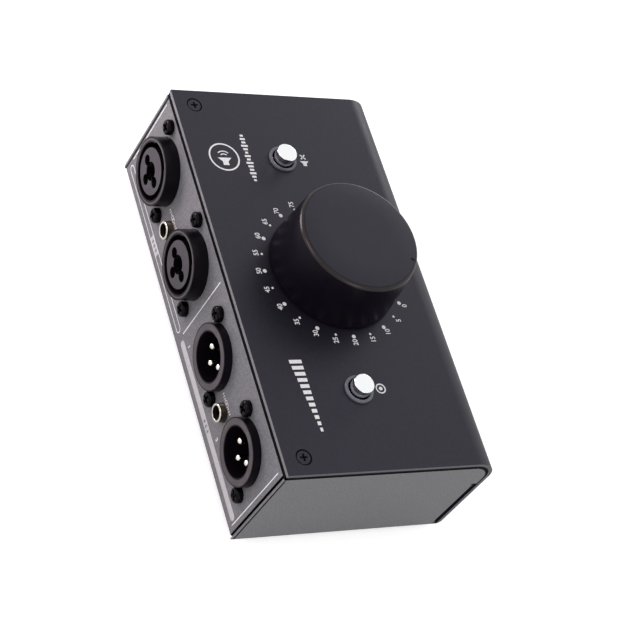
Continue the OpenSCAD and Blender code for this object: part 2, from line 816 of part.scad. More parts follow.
// The level network: a row of axial resistors on the board in front of the dial
module resistors() {
    resistor_d = 2.4;
    resistor_l = 6.4;
    lead_d = 0.6;
    lead_reach = 1.8;
    row = 5;
    color([0.35, 0.6, 0.75]) for (side = [-1, 1], i = [0:2])
        translate([side * 2 / 3 * button_x, board_front + 8 + row * i, board_top + resistor_d / 2 + 0.2]) {
            rotate([0, 90, 0]) cylinder(d = resistor_d, h = resistor_l, center = true);
            rotate([0, 90, 0]) cylinder(d = lead_d, h = resistor_l + 2 * lead_reach, center = true);
            for (e = [-1, 1]) translate([e * (resistor_l / 2 + lead_reach - lead_d / 2), 0, 0])
                rod(lead_d, -resistor_d / 2 - 0.2, 0);
        }
}

// Cable between the boards: down from the upper header, round the bend and into the lower one
ribbon_x = jack_xs[0] - header_gap - header_l / 2;
ribbon_level = board_low - ribbon_drop;
ribbon_end_y = wall_board_front - header_w;
ribbon_bend_y = ribbon_end_y - 1.5;
ribbon_drop_y = ribbon_bend_y - ribbon_r;
ribbon_top = board_low - header_w;

module header(y, z) {
    translate([ribbon_x - header_l / 2, y, z]) cube([header_l, header_w, header_w]);
}

module upper_header() {
    color([0.9, 0.9, 0.85]) header(ribbon_drop_y - header_w / 2, board_low - header_w);
}

module lower_header() {
    color([0.9, 0.9, 0.85]) header(wall_board_front - header_w, ribbon_level - header_w / 2);
}

module ribbon_cable() {
    half = ribbon_t / 2;
    color([0.6, 0.6, 0.62]) along_x(ribbon_x - ribbon_w / 2, ribbon_x + ribbon_w / 2) {
        translate([ribbon_drop_y - half, ribbon_level + ribbon_r])
            square([ribbon_t, ribbon_top - ribbon_level - ribbon_r]);
        translate([ribbon_bend_y, ribbon_level - half]) square([ribbon_end_y - ribbon_bend_y, ribbon_t]);
        translate([ribbon_bend_y, ribbon_level + ribbon_r]) intersection() {
            difference() {
                circle(ribbon_r + half);
                circle(ribbon_r - half);
            }
            translate([-2 * ribbon_r, -2 * ribbon_r]) square(2 * ribbon_r);
        }
    }
}

module connector_board() {
    color([0.1, 0.35, 0.15]) difference() {
        translate([-wall_board_half, wall_board_front, wall_board_low])
            cube([2 * wall_board_half, board_t, wall_board_high - wall_board_low]);
        for (x = combo_xs) on_rear(x, combo_z) combo_tails(tail_end - 1);
        for (x = xlr_xs) on_rear(x, xlr_z) xlr_tails(tail_end - 1);
        for (x = jack_xs) on_rear(x, jack_z) jack_tails(tail_end - 1);
    }
}

// ---------- rear sockets ----------

// Flange and body behind the wall, and the ring in front of it
module socket_body(flange, ring_d, proud) {
    flange_z = -sheet_t - socket_flange_t;
    translate([0, 0, flange_z]) linear_extrude(socket_flange_t) rounded(flange[0], flange[1], 2);
    translate([0, 0, socket_back]) linear_extrude(flange_z - socket_back + eps) rounded(socket_body_w, socket_body_w, 2);
    rod(ring_d, flange_z, proud);
}

module screw_pilots() {
    rod(screw_pilot, -socket_screw_l - 0.3, 1);
}

// Tails of the three contact sleeves and of the two plug springs
module combo_tails(z0) {
    for (a = contact_angles) rotate(a) translate([combo_contact_r, 0, 0]) rod(tail_d, z0, sleeve_front - sleeve_l + eps);
    for (a = strip_angles) rotate(a) translate([strip_r + spring_strip[1] / 2, 0, 0])
        rod(spring_strip[1], z0, insert_back + 4);
}

module xlr_tails(z0) {
    for (a = contact_angles) rotate(a) translate([xlr_pin_r, 0, 0]) rod(tail_d, z0, socket_back + 1);
}

module jack_tails(z0) {
    for (x = jack_wire_xs) translate([x, 0, 0]) rod(tail_d, z0, jack_back);
}

module combo_housing(i) {
    key_half = 5.6;
    key_d = combo_groove_d + 2.2;
    color([0.1, 0.1, 0.11]) on_rear(combo_xs[i], combo_z) difference() {
        socket_body(combo_flange, combo_ring_d, combo_proud);
        rod(combo_groove_d, combo_proud - combo_groove_l, combo_proud + 1);
        rod(combo_insert_d, insert_back, combo_proud);
        intersection() {
            rod(key_d, combo_proud - 4, combo_proud + 1);
            translate([-key_half, -key_d, combo_proud - 4]) cube([2 * key_half, key_d, 6]);
        }
        combo_screw_places() screw_pilots();
        combo_tails(tail_end);
    }
}

module combo_insert(i) {
    color([0.25, 0.25, 0.27]) on_rear(combo_xs[i], combo_z) difference() {
        rod(combo_insert_d, insert_back, combo_proud);
        rod(plug_bore_d, combo_proud - plug_bore_l, combo_proud + 1);
        for (a = contact_angles) rotate(a) translate([combo_contact_r, 0, 0]) {
            rod(combo_lobe_d, combo_proud - combo_lobe_l, combo_proud + 1);
            rod(combo_sleeve_d, sleeve_front - sleeve_l, combo_proud);
        }
        for (a = strip_angles) rotate(a) translate([strip_r - 1, -spring_strip[0] / 2, insert_back + 3])
            cube([1 + spring_strip[1], spring_strip[0], strip_front - insert_back - 3]);
        combo_tails(tail_end);
    }
}

module combo_contacts(i) {
    color([0.8, 0.7, 0.45]) on_rear(combo_xs[i], combo_z) {
        for (a = contact_angles) rotate(a) translate([combo_contact_r, 0, 0]) difference() {
            rod(combo_sleeve_d, sleeve_front - sleeve_l, sleeve_front);
            rod(combo_sleeve_d - 0.6, sleeve_front - sleeve_l + 1, sleeve_front + 1);
        }
        for (a = strip_angles) rotate(a) translate([strip_r, -spring_strip[0] / 2, insert_back + 3])
            cube([spring_strip[1], spring_strip[0], strip_front - insert_back - 3]);
        combo_tails(tail_end);
    }
}

module xlr_housing(i) {
    key_half = 2.2;
    color([0.1, 0.1, 0.11]) on_rear(xlr_xs[i], xlr_z) difference() {
        socket_body(xlr_flange, xlr_ring_d, xlr_proud);
        rod(xlr_hollow_d, xlr_floor, xlr_proud + 1);
        translate([-key_half, -xlr_hollow_d / 2 - 1.2, xlr_floor]) cube([2 * key_half, 4, xlr_hollow_l + 1]);
        for (a = contact_angles) rotate(a) translate([xlr_pin_r, 0, 0])
            rod(xlr_pin_d, socket_back + 1, xlr_proud);
        xlr_screw_places() screw_pilots();
        xlr_tails(tail_end);
    }
}

module xlr_pins(i) {
    tip = 0.5;
    color([0.9, 0.85, 0.65]) on_rear(xlr_xs[i], xlr_z) {
        for (a = contact_angles) rotate(a) translate([xlr_pin_r, 0, 0]) {
            rod(xlr_pin_d, socket_back + 1, xlr_tip - tip);
            translate([0, 0, xlr_tip - tip]) cylinder(d1 = xlr_pin_d, d2 = xlr_pin_d - 2 * tip, h = tip);
        }
        xlr_tails(tail_end);
    }
}

module jack_body(i) {
    color([0.12, 0.12, 0.13]) on_rear(jack_xs[i], jack_z) difference() {
        translate([0, 0, jack_back]) linear_extrude(jack_l) rounded(jack_w, jack_h, 0.8);
        rod(jack_bore_d, jack_back + 1.5, 1);
    }
}

module jack_collar(i) {
    color([0.85, 0.8, 0.65]) on_rear(jack_xs[i], jack_z) difference() {
        rod(jack_collar_d, -sheet_t, jack_proud);
        rod(jack_bore_d, -sheet_t - 1, jack_proud + 1);
    }
}

module jack_wires(i) {
    color([0.8, 0.5, 0.3]) on_rear(jack_xs[i], jack_z) jack_tails(tail_end);
}

module connector_screws() {
    color([0.08, 0.08, 0.09]) {
        for (x = combo_xs) on_rear(x, combo_z) combo_screw_places()
            pan_screw(socket_screw_d, socket_screw_l, socket_head_d, socket_head_h);
        for (x = xlr_xs) on_rear(x, xlr_z) xlr_screw_places()
            pan_screw(socket_screw_d, socket_screw_l, socket_head_d, socket_head_h);
    }
}

// ---------- the whole thing ----------

chassis();
cover();
fixing_brackets();
cover_screws();
base_screws();
feet();
knob();
knob_insert();
pot_shaft();
pot_rotor();
pot_bush();
pot_case();
pot_tracks();
pot_terminals();
pot_washer();
pot_nut();
button_cap(1);  // mute_cap
button_cap(-1);  // mono_cap
bezel(1);  // mute_bezel
bezel(-1);  // mono_bezel
plunger(1);  // mute_plunger
plunger(-1);  // mono_plunger
switch_case(1);  // mute_switch_case
switch_case(-1);  // mono_switch_case
return_spring(1);  // mute_spring
return_spring(-1);  // mono_spring
switch_terminals();
control_board();
board_spacers();
board_screws();
resistors();
upper_header();
lower_header();
ribbon_cable();
connector_board();
combo_housing(0);  // combo_1_housing
combo_housing(1);  // combo_2_housing
combo_insert(0);  // combo_1_insert
combo_insert(1);  // combo_2_insert
combo_contacts(0);  // combo_1_contacts
combo_contacts(1);  // combo_2_contacts
xlr_housing(0);  // xlr_1_housing
xlr_housing(1);  // xlr_2_housing
xlr_pins(0);  // xlr_1_pins
xlr_pins(1);  // xlr_2_pins
jack_body(0);  // jack_in_body
jack_body(1);  // jack_out_body
jack_collar(0);  // jack_in_collar
jack_collar(1);  // jack_out_collar
jack_wires(0);  // jack_in_wires
jack_wires(1);  // jack_out_wires
connector_screws();
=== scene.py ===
# %% [markdown]
# # A studio monitor controller
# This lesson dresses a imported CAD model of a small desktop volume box: a grey folded chassis,
# a black folded cover, one large dial, two push buttons and a row of sockets on the rear.
# The CAD model is the frame. It says where everything is, and nothing here moves it.

# %% Load the frame
import json
import math

import bmesh
import bpy
from mathutils import Matrix, Vector


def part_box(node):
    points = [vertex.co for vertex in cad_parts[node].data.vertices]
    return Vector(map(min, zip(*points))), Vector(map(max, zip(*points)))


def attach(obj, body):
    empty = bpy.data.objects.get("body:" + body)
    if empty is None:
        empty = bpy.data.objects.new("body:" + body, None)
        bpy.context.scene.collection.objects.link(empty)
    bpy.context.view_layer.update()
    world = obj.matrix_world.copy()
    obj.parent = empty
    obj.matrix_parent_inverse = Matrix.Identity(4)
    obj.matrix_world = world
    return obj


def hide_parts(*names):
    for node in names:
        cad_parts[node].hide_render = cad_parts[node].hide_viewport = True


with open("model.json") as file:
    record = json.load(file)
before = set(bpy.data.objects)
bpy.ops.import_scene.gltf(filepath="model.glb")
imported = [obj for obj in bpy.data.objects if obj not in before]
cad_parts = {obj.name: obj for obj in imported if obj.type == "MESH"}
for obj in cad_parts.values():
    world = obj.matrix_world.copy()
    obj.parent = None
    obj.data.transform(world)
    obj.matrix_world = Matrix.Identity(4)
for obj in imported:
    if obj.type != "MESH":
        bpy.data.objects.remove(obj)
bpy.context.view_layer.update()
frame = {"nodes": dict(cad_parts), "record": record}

nodes = frame["nodes"]
scene = bpy.context.scene

# %% [markdown]
# Sizes on such a box are a few millimetres, while Blender works in metres, so the helpers below take
# millimetres. Planes and centres are read from the CAD nodes and not typed again. A node such as the
# screws holds several solids: `solids_of` merges a copy of its triangles, walks along their edges,
# and gives the box of each solid, always in the same order.

# %% Planes and centres taken from the frame
MM = 0.001


def low(node):
    return Vector(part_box(node)[0]) / MM


def high(node):
    return Vector(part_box(node)[1]) / MM


def middle(node):
    return (low(node) + high(node)) / 2


def solids_of(node):
    """Lowest and highest corner of each solid in a node, in millimetres."""
    bm = bmesh.new()
    bm.from_mesh(nodes[node].data)
    bmesh.ops.remove_doubles(bm, verts=bm.verts, dist=1e-6)
    left = set(bm.verts)
    boxes = []
    while left:
        front = [left.pop()]
        solid = []
        while front:
            vert = front.pop()
            solid.append(vert.co / MM)
            near = [e.other_vert(vert) for e in vert.link_edges]
            near = [v for v in near if v in left]
            left.difference_update(near)
            front.extend(near)
        boxes.append((Vector(map(min, *solid)), Vector(map(max, *solid))))
    bm.free()
    return sorted(boxes, key=lambda box: tuple(box[0]))


def between(box):
    return (box[0] + box[1]) / 2


def radius(node):
    """Half the width of a round node that stands or lies across X."""
    return (high(node).x - low(node).x) / 2


top_z = high("cover").z
rear_y = high("chassis").y
under_z = low("chassis").z
dial = middle("knob")
mute = middle("mute_cap")
mono = middle("mono_cap")
print("top plane", round(top_z, 2), "rear plane", round(rear_y, 2), "underside", round(under_z, 2))
print("socket screws:", len(solids_of("connector_screws")))

# %% [markdown]
# ## Camera
# The photograph looks down on the rear left corner, with the camera rolled well over, so that the
# long side of the box runs almost upright in the picture. A long lens keeps edges nearly parallel.

# %% Camera at the photograph's angle
def linked(name, data):
    """A new object in the scene."""
    thing = bpy.data.objects.new(name, data)
    scene.collection.objects.link(thing)
    return thing


def aimed(at, target, roll=0):
    """Stands at one point and looks at another, rolled about its own axis."""
    aim = (Vector(target) - Vector(at)).to_track_quat("-Z", "Y").to_matrix()
    return Matrix.Translation(at) @ (aim @ Matrix.Rotation(roll, 3, "Z")).to_4x4()


CAMERA_AT = Vector((-0.28975, 0.31819, 0.49035))
CAMERA_LOOKS_AT = Vector((-0.0013, -0.00384, 0.0255))
CAMERA_ROLL = math.radians(38.73)
LENS = 110.45
SENSOR = 36

camera_data = bpy.data.cameras.new("camera")
camera_data.lens = LENS
camera_data.sensor_width = SENSOR
camera = linked("camera", camera_data)
camera.matrix_world = aimed(CAMERA_AT, CAMERA_LOOKS_AT, CAMERA_ROLL)
scene.camera = camera
print("camera distance", round((CAMERA_LOOKS_AT - CAMERA_AT).length, 3), "m")

# %% [markdown]
# ## Light
# In the photograph's white tent, black paint shows its shape only by what it reflects. So the world
# is white to the camera and in reflections, and a little weaker as a lamp. A large soft lamp on the
# socket side and a small low one light the far end of the socket wall more than the near one. The
# low one gives the sockets their shadows, and is hidden from the camera. A lamp in front draws a pale
# band along the cover's bend, and a weaker one faces the near end wall.

# %% World
scene.view_settings.view_transform = "Standard"
WORLD_LIGHT = 0.75

world = bpy.data.worlds.new("white tent")
scene.world = world
world.use_nodes = True
tree = world.node_tree
background = tree.nodes["Background"]
background.inputs["Color"].default_value = (1, 1, 1, 1)
rays = tree.nodes.new("ShaderNodeLightPath")


def larger(a, b):
    node = tree.nodes.new("ShaderNodeMath")
    node.operation = "MAXIMUM"
    tree.links.new(a, node.inputs[0])
    tree.links.new(b, node.inputs[1])
    return node.outputs[0]


seen = larger(rays.outputs["Is Camera Ray"], rays.outputs["Is Glossy Ray"])
seen = larger(seen, rays.outputs["Is Transmission Ray"])
strength = tree.nodes.new("ShaderNodeMapRange")
strength.inputs["To Min"].default_value = WORLD_LIGHT
strength.inputs["To Max"].default_value = 1.0
tree.links.new(seen, strength.inputs["Value"])
tree.links.new(strength.outputs[0], background.inputs["Strength"])

# %% Lamps
BOX_MIDDLE = (0, 0, 0.03)
SOCKET_WALL = (0, 0.037, 0.03)


def area_lamp(name, at, target, size, power, colour=(1, 1, 1)):
    data = bpy.data.lights.new(name, "AREA")
    data.size = size
    data.energy = power
    data.color = colour
    lamp = linked(name, data)
    lamp.matrix_world = aimed(at, target)
    return lamp


area_lamp("socket side lamp", (0.14, 0.75, 0.45), BOX_MIDDLE, 0.35, 1.5, (1.0, 0.74, 0.88))
area_lamp("front lamp", (0.7, -0.75, 0.26), BOX_MIDDLE, 0.35, 1.2)
area_lamp("end lamp", (-0.8, 0.1, 0.45), BOX_MIDDLE, 0.3, 0.95, (1.0, 0.97, 0.95))
low_lamp = area_lamp("low lamp", (0.2, 0.17, 0.05), SOCKET_WALL, 0.1, 0.31, (1.0, 0.88, 0.93))
low_lamp.visible_camera = False

# %% [markdown]
# ## Materials
# Every finish starts from one Principled shader. One helper adds a noise that is measured in
# millimetres on the object, the others turn such a pattern into bump, colour or roughness. Object
# coordinates carry the patterns, so they stay on the surface as a part moves.

# %% Material helpers
def principled(name, colour, roughness, metallic=0.0, specular=0.5, tint=(1, 1, 1)):
    material = bpy.data.materials.new(name)
    material.use_nodes = True
    shader = shader_of(material)
    shader.inputs["Base Color"].default_value = (*colour, 1)
    shader.inputs["Roughness"].default_value = roughness
    shader.inputs["Metallic"].default_value = metallic
    shader.inputs["Specular IOR Level"].default_value = specular
    shader.inputs["Specular Tint"].default_value = (*tint, 1)
    return material


def shader_of(material):
    return material.node_tree.nodes["Principled BSDF"]


def pattern(material, size_mm, detail=2.0, stretch=(1, 1, 1)):
    """A noise whose blotches are about size_mm across."""
    tree = material.node_tree
    where = tree.nodes.new("ShaderNodeTexCoord")
    mapping = tree.nodes.new("ShaderNodeMapping")
    mapping.inputs["Scale"].default_value = stretch
    noise = tree.nodes.new("ShaderNodeTexNoise")
    noise.inputs["Scale"].default_value = 1 / (size_mm * MM)
    noise.inputs["Detail"].default_value = detail
    tree.links.new(where.outputs["Object"], mapping.inputs["Vector"])
    tree.links.new(mapping.outputs["Vector"], noise.inputs["Vector"])
    return noise.outputs["Fac"]


def add_bump(material, height, depth_mm):
    tree = material.node_tree
    bump = tree.nodes.new("ShaderNodeBump")
    bump.inputs["Distance"].default_value = depth_mm * MM
    normal = shader_of(material).inputs["Normal"]
    if normal.links:
        tree.links.new(normal.links[0].from_socket, bump.inputs["Normal"])
    tree.links.new(height, bump.inputs["Height"])
    tree.links.new(bump.outputs["Normal"], normal)


def vary_colour(material, fac, dark, light, spread=(0.35, 0.65)):
    """Blends the base colour from dark to light by a pattern."""
    tree = material.node_tree
    ramp = tree.nodes.new("ShaderNodeValToRGB")
    for stop, position, colour in zip(ramp.color_ramp.elements, spread, (dark, light)):
        stop.position = position
        stop.color = (*colour, 1)
    tree.links.new(fac, ramp.inputs["Fac"])
    tree.links.new(ramp.outputs["Color"], shader_of(material).inputs["Base Color"])


def vary_roughness(material, fac, smooth, rough):
    tree = material.node_tree
    span = tree.nodes.new("ShaderNodeMapRange")
    span.inputs["To Min"].default_value = smooth
    span.inputs["To Max"].default_value = rough
    tree.links.new(fac, span.inputs["Value"])
    tree.links.new(span.outputs[0], shader_of(material).inputs["Roughness"])


def scaled(colour, factor):
    return tuple(min(1, c * factor) for c in colour)


# %% [markdown]
# The cover is powder coated: a satin black with a faint blue cast, and a very fine grain that only
# shows where light grazes it. The chassis wears a coarser grey coat with visible light and dark
# specks, and a softer sheen. Prints and cut edges are plainer: one colour that wanders a little.

# %% Paints
COOL = (0.82, 0.8, 1.0)


def black_powder_coat():
    colour = (0.008, 0.0072, 0.0115)
    paint = principled("black_powder_coat", colour, 0.38, specular=0.42, tint=COOL)
    vary_colour(paint, pattern(paint, 1.2, 4), scaled(colour, 0.85), scaled(colour, 1.2))
    vary_roughness(paint, pattern(paint, 6, 3), 0.34, 0.44)
    add_bump(paint, pattern(paint, 0.18, 2), 0.012)
    return paint


def grey_speckled_coat():
    colour = (0.146, 0.149, 0.16)
    paint = principled("grey_speckled_coat", colour, 0.5)
    vary_colour(paint, pattern(paint, 0.45, 3), scaled(colour, 0.72), scaled(colour, 1.32), (0.3, 0.7))
    vary_roughness(paint, pattern(paint, 0.5, 2), 0.42, 0.62)
    add_bump(paint, pattern(paint, 0.3, 2), 0.03)
    return paint


def mottled(name, colour, roughness, spread, size_mm, detail):
    """A plain coat whose colour wanders up and down by the spread."""
    coat = principled(name, colour, roughness)
    dark, light = [tuple(c + step for c in colour) for step in (-spread, spread)]
    vary_colour(coat, pattern(coat, size_mm, detail), dark, light)
    return coat


cover_black = black_powder_coat()
# Painted light and shade: a lighter copy of the cut-edge colour for the rear, a darker one for the ends.
rear_edge_painted_light = mottled("rear_edge_painted_light", (0.17, 0.165, 0.175), 0.45, 0.02, 0.8, 3)
end_edge_painted_shade = mottled("end_edge_painted_shade", (0.075, 0.07, 0.085), 0.45, 0.01, 0.8, 3)
chassis_grey = grey_speckled_coat()
white_ink = mottled("print_ink", (0.8, 0.8, 0.81), 0.5, 0.06, 0.5, 2)
add_bump(white_ink, pattern(white_ink, 0.2, 2), 0.004)
pale_ink = mottled("bar_ink", (0.48, 0.48, 0.49), 0.5, 0.04, 0.5, 2)
print("paints:", cover_black.name, chassis_grey.name, white_ink.name)

# %% [markdown]
# Plastics and rubber differ in how their skin scatters light. The dial's top is slightly silky. Its
# side is a darker, duller copy of the same plastic, painted shade, and its shoulder a smoother copy with
# a warm tint, a painted warm highlight where the lamps draw a line. The sockets are plain moulded nylon,
# and the feet are dull rubber.

# %% Plastics and rubber
def moulded(name, colour, roughness, grain_mm=0.25, grain_depth_mm=0.01, specular=0.5, tint=(1, 1, 1)):
    plastic = principled(name, colour, roughness, specular=specular, tint=tint)
    vary_colour(plastic, pattern(plastic, 3, 3), scaled(colour, 0.88), scaled(colour, 1.14))
    vary_roughness(plastic, pattern(plastic, 2, 2), roughness * 0.9, roughness * 1.12)
    add_bump(plastic, pattern(plastic, grain_mm, 2), grain_depth_mm)
    return plastic


dial_black = moulded("dial_black", (0.006, 0.0045, 0.008), 0.42, 0.22, 0.01, 0.42, COOL)
# Painted light: the dial's side copy is darker and duller as painted shade, its rim copy smoother and
# warm-tinted as a painted highlight.
dial_side_painted_shade = moulded("dial_side_painted_shade", (0.004, 0.0025, 0.006), 0.35, 0.22, 0.01, 0.1)
dial_rim_painted_highlight = moulded("dial_rim_painted_highlight", (0.0065, 0.0045, 0.005), 0.27, 0.22, 0.004, 0.37, (1.0, 0.91, 0.93))
socket_black = moulded("socket_black", (0.004, 0.0026, 0.005), 0.3, 0.3, 0.008, 0.12)
# A lighter grey copy of the black socket nylon for the ring fronts: painted sheen.
ring_face_painted_sheen = moulded("ring_face_painted_sheen", (0.07, 0.06, 0.069), 0.4, 0.3, 0.008)
insert_grey = moulded("insert_grey", (0.03, 0.025, 0.034), 0.42, 0.5, 0.02)
# A near-black used only as painted shade: in holes, gaps, joints and recesses.
painted_shade_black = moulded("painted_shade_black", (0.0015, 0.0012, 0.0018), 0.6, specular=0.05)
screw_gloss = moulded("screw_gloss", (0.0025, 0.002, 0.003), 0.1, 0.4, 0.003, 0.09)
bezel_black = moulded("bezel_black", (0.115, 0.118, 0.145), 0.26, 0.4, 0.004)
rubber = moulded("foot_rubber", (0.02, 0.02, 0.02), 0.75, 0.35, 0.03)
switch_blue = moulded("switch_blue", (0.03, 0.06, 0.2), 0.45)
nylon_white = moulded("nylon_white", (0.72, 0.72, 0.66), 0.5)
pot_green = moulded("pot_green", (0.03, 0.09, 0.06), 0.5)
carbon_brown = moulded("carbon_brown", (0.12, 0.06, 0.03), 0.6)
print("materials so far:", len(bpy.data.materials))

# %% [markdown]
# Metals take almost all of their colour from what they reflect. Plated parts get a roughness that
# wanders a little, and brushed or turned ones a pattern stretched along one direction.

# %% Metals
def metal(name, colour, roughness, stretch=(1, 1, 1)):
    finish = principled(name, colour, roughness, 1.0)
    vary_roughness(finish, pattern(finish, 1.5, 3, stretch), roughness * 0.8, roughness * 1.25)
    add_bump(finish, pattern(finish, 0.4, 2, stretch), 0.002)
    return finish


chrome = metal("chrome", (0.92, 0.93, 0.94), 0.05)
nickel = metal("nickel", (0.8, 0.77, 0.66), 0.18)
zinc_steel = metal("zinc_steel", (0.58, 0.58, 0.58), 0.32, (1, 6, 1))
screw_black = metal("black_oxide", (0.022, 0.02, 0.024), 0.24)
# A darkened copy of the collar's metal, painted shade on the jack's threaded side.
brass_painted_shade = metal("brass_painted_shade", (0.03, 0.026, 0.02), 0.35)
turned_brass = metal("turned_brass", (0.78, 0.58, 0.28), 0.25, (1, 1, 8))
turned_aluminium = metal("turned_aluminium", (0.76, 0.76, 0.78), 0.28, (1, 1, 8))
contact_gold = metal("contact_gold", (0.86, 0.7, 0.38), 0.2)
pin_silver = metal("pin_silver", (0.92, 0.9, 0.8), 0.12)
spring_steel = metal("spring_steel", (0.62, 0.62, 0.62), 0.25)
tinned_copper = metal("tinned_copper", (0.78, 0.56, 0.42), 0.3)

# %% [markdown]
# A circuit board is green lacquer, paler and a little raised where copper lies under it. A ribbon
# cable is a row of round wires and a resistor wears rings, so both get stripes across one axis.

# %% Board, cable and resistor finishes
WAVE_STRIPE = math.tau / 20  # distance between two stripes of a wave texture of scale 1


def board_lacquer():
    board = principled("board_lacquer", (0.02, 0.12, 0.05), 0.3)
    copper = pattern(board, 5, 1, (1, 2, 1))
    vary_colour(board, copper, (0.012, 0.075, 0.03), (0.03, 0.16, 0.07), (0.48, 0.52))
    vary_roughness(board, pattern(board, 2, 2), 0.22, 0.36)
    add_bump(board, copper, 0.03)
    return board


def striped(name, colours, pitch_mm):
    """Stripes across X, pitch_mm apart."""
    material = principled(name, colours[0], 0.4)
    tree = material.node_tree
    where = tree.nodes.new("ShaderNodeTexCoord")
    wave = tree.nodes.new("ShaderNodeTexWave")
    wave.inputs["Scale"].default_value = WAVE_STRIPE / (pitch_mm * MM)
    tree.links.new(where.outputs["Object"], wave.inputs["Vector"])
    vary_colour(material, wave.outputs["Fac"], *colours, (0.1, 0.9))
    add_bump(material, wave.outputs["Fac"], 0.2)
    return material


board_green = board_lacquer()
ribbon_grey = striped("ribbon_grey", ((0.25, 0.25, 0.26), (0.5, 0.5, 0.52)), 1.27)
resistor_blue = striped("resistor_blue", ((0.1, 0.32, 0.5), (0.14, 0.42, 0.62)), 1.6)
print("materials in all:", len(bpy.data.materials))

# %% [markdown]
# ## Floor
# A large pale sheet. To the camera it glows a little on top of its light, which makes the open floor
# white and still leaves the box its soft shadow.

# %% Floor
FLOOR_GLOW = 0.55
FLOOR_HALF = 3

white_sheet = mottled("white_sheet", (0.86, 0.86, 0.86), 0.9, 0.01, 40, 2)
add_bump(white_sheet, pattern(white_sheet, 3, 2), 0.02)
sheet_tree = white_sheet.node_tree
sheet_rays = sheet_tree.nodes.new("ShaderNodeLightPath")
lift = sheet_tree.nodes.new("ShaderNodeMath")
lift.operation = "MULTIPLY"
lift.inputs[1].default_value = FLOOR_GLOW
sheet_tree.links.new(sheet_rays.outputs["Is Camera Ray"], lift.inputs[0])
sheet_tree.links.new(lift.outputs[0], shader_of(white_sheet).inputs["Emission Strength"])


def mesh_of(bm, name):
    mesh = bpy.data.meshes.new(name)
    bm.to_mesh(mesh)
    bm.free()
    return mesh


bm = bmesh.new()
bmesh.ops.create_grid(bm, x_segments=1, y_segments=1, size=FLOOR_HALF)
floor = linked("floor", mesh_of(bm, "floor"))
floor.data.materials.append(white_sheet)
print("floor:", 2 * FLOOR_HALF, "m across")

# %% [markdown]
# ## Making pieces
# A piece is an object at the origin with its place in its mesh. One helper closes a bmesh, turns its
# faces outwards, marks the sharp edges and lets the piece ride on a body of the frame. Weighted
# normals keep large flat faces flat right up to their small bevels.

# %% Piece helper
SMOOTH_UNDER = math.radians(34)
SAME_POINT = 1e-7


def make_piece(name, bm, material, body="unit", stands_for=()):
    bmesh.ops.remove_doubles(bm, verts=bm.verts, dist=SAME_POINT)
    bmesh.ops.recalc_face_normals(bm, faces=bm.faces)
    for face in bm.faces:
        face.smooth = True
    for edge in bm.edges:
        edge.smooth = len(edge.link_faces) == 2 and edge.calc_face_angle(0) < SMOOTH_UNDER
    piece = linked(name, mesh_of(bm, name))
    piece.data.materials.append(material)
    weighted = piece.modifiers.new("weighted normals", "WEIGHTED_NORMAL")
    weighted.keep_sharp = True
    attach(piece, body)
    if stands_for:
        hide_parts(*stands_for)
    return piece


# %% [markdown]
# Some pieces wear a second finish on a few faces, such as a cut edge. The helper hands each face's
# centre, in millimetres, and normal to a test, and finishes the faces that pass. A piece that stands
# for a CAD node takes its body from the imported record.

# %% Second finish
def finish_faces(piece, material, test):
    piece.data.materials.append(material)
    index = len(piece.data.materials) - 1
    for face in piece.data.polygons:
        if test(face.center / MM, face.normal):
            face.material_index = index


# %% Pieces that stand for a node
bodies_of_record = frame["record"]["behaviour"]["bodies"]
body_of = {node: body for body, held in bodies_of_record.items() for node in held}


def stand_in(node, name, bm, material):
    return make_piece(name, bm, material, body_of[node], (node,))


print("nodes:", {body: len(held) for body, held in bodies_of_record.items()})

# %% [markdown]
# A CAD sheet or moulding has edges as sharp as a knife, and real edges are not: a small bevel catches
# the light along them. The helper copies a CAD node's mesh, merges its loose triangles into clean
# faces, and bevels the edges that turn sharply, apart from those whose middle passes `leave`.

# %% Softened copies of CAD nodes
SAME_CAD_POINT = 2e-6
FLAT_UNDER = math.radians(0.5)


def softened(node, material, width_mm, segments=2, leave=None):
    bm = bmesh.new()
    bm.from_mesh(nodes[node].data)
    bmesh.ops.remove_doubles(bm, verts=bm.verts, dist=SAME_CAD_POINT)
    bmesh.ops.dissolve_limit(bm, angle_limit=FLAT_UNDER, verts=bm.verts, edges=bm.edges)
    sharp = [e for e in bm.edges if len(e.link_faces) == 2 and e.calc_face_angle(0) > SMOOTH_UNDER]
    if leave:
        sharp = [e for e in sharp if not leave((e.verts[0].co + e.verts[1].co) / 2 / MM)]
    bmesh.ops.bevel(bm, geom=sharp, offset=width_mm * MM, offset_type="OFFSET", segments=segments,
                    profile=0.5, affect="EDGES", clamp_overlap=True, material=-1)
    bmesh.ops.triangulate(bm, faces=[f for f in bm.faces if len(f.verts) > 4])
    return stand_in(node, node + "_soft", bm, material)


# %% [markdown]
# ## Housing
# The chassis is one folded sheet with the rear wall and both end walls, and the cover is a second
# sheet over the top and the front. A painted sheet edge is rounded by a few tenths of a millimetre.
# Only the cover's countersunk holes stay sharp, as a bevel there would show beside the screw heads.

# %% Chassis, cover and brackets
EDGE_R = 0.4
CHASSIS_EDGE_R = 0.15
HOLE_R = 2.9
half_l = high("cover").x
wall_top = high("chassis").z
hole_places = [between(box) for box in solids_of("cover_screws")]


def in_screw_hole(c):
    return any((c.xy - hole.xy).length < HOLE_R for hole in hole_places)


chassis = softened("chassis", chassis_grey, CHASSIS_EDGE_R)
cover = softened("cover", cover_black, EDGE_R, leave=in_screw_hole)
brackets = softened("fixing_brackets", zinc_steel, 0.1)
for piece in (chassis, cover, brackets):
    print(piece.name, len(piece.data.polygons), "faces")

# %% [markdown]
# The cover's cut edge takes a lighter copy of one colour at the rear, painted light, and a darker
# copy at the ends, painted shade, where its bevels are painted black as shade. Painted black as shade
# too are the walls of its screw holes, and on the chassis the upper edges of the walls and the upright
# ends of the rear wall, which stand in the narrow gaps at the corners.

# %% Edges of the sheets
ON_FACE = 0.05
HOLE_DEPTH = 2.0
CORNER_GAP = (half_l - 2.0, half_l - 1.3)
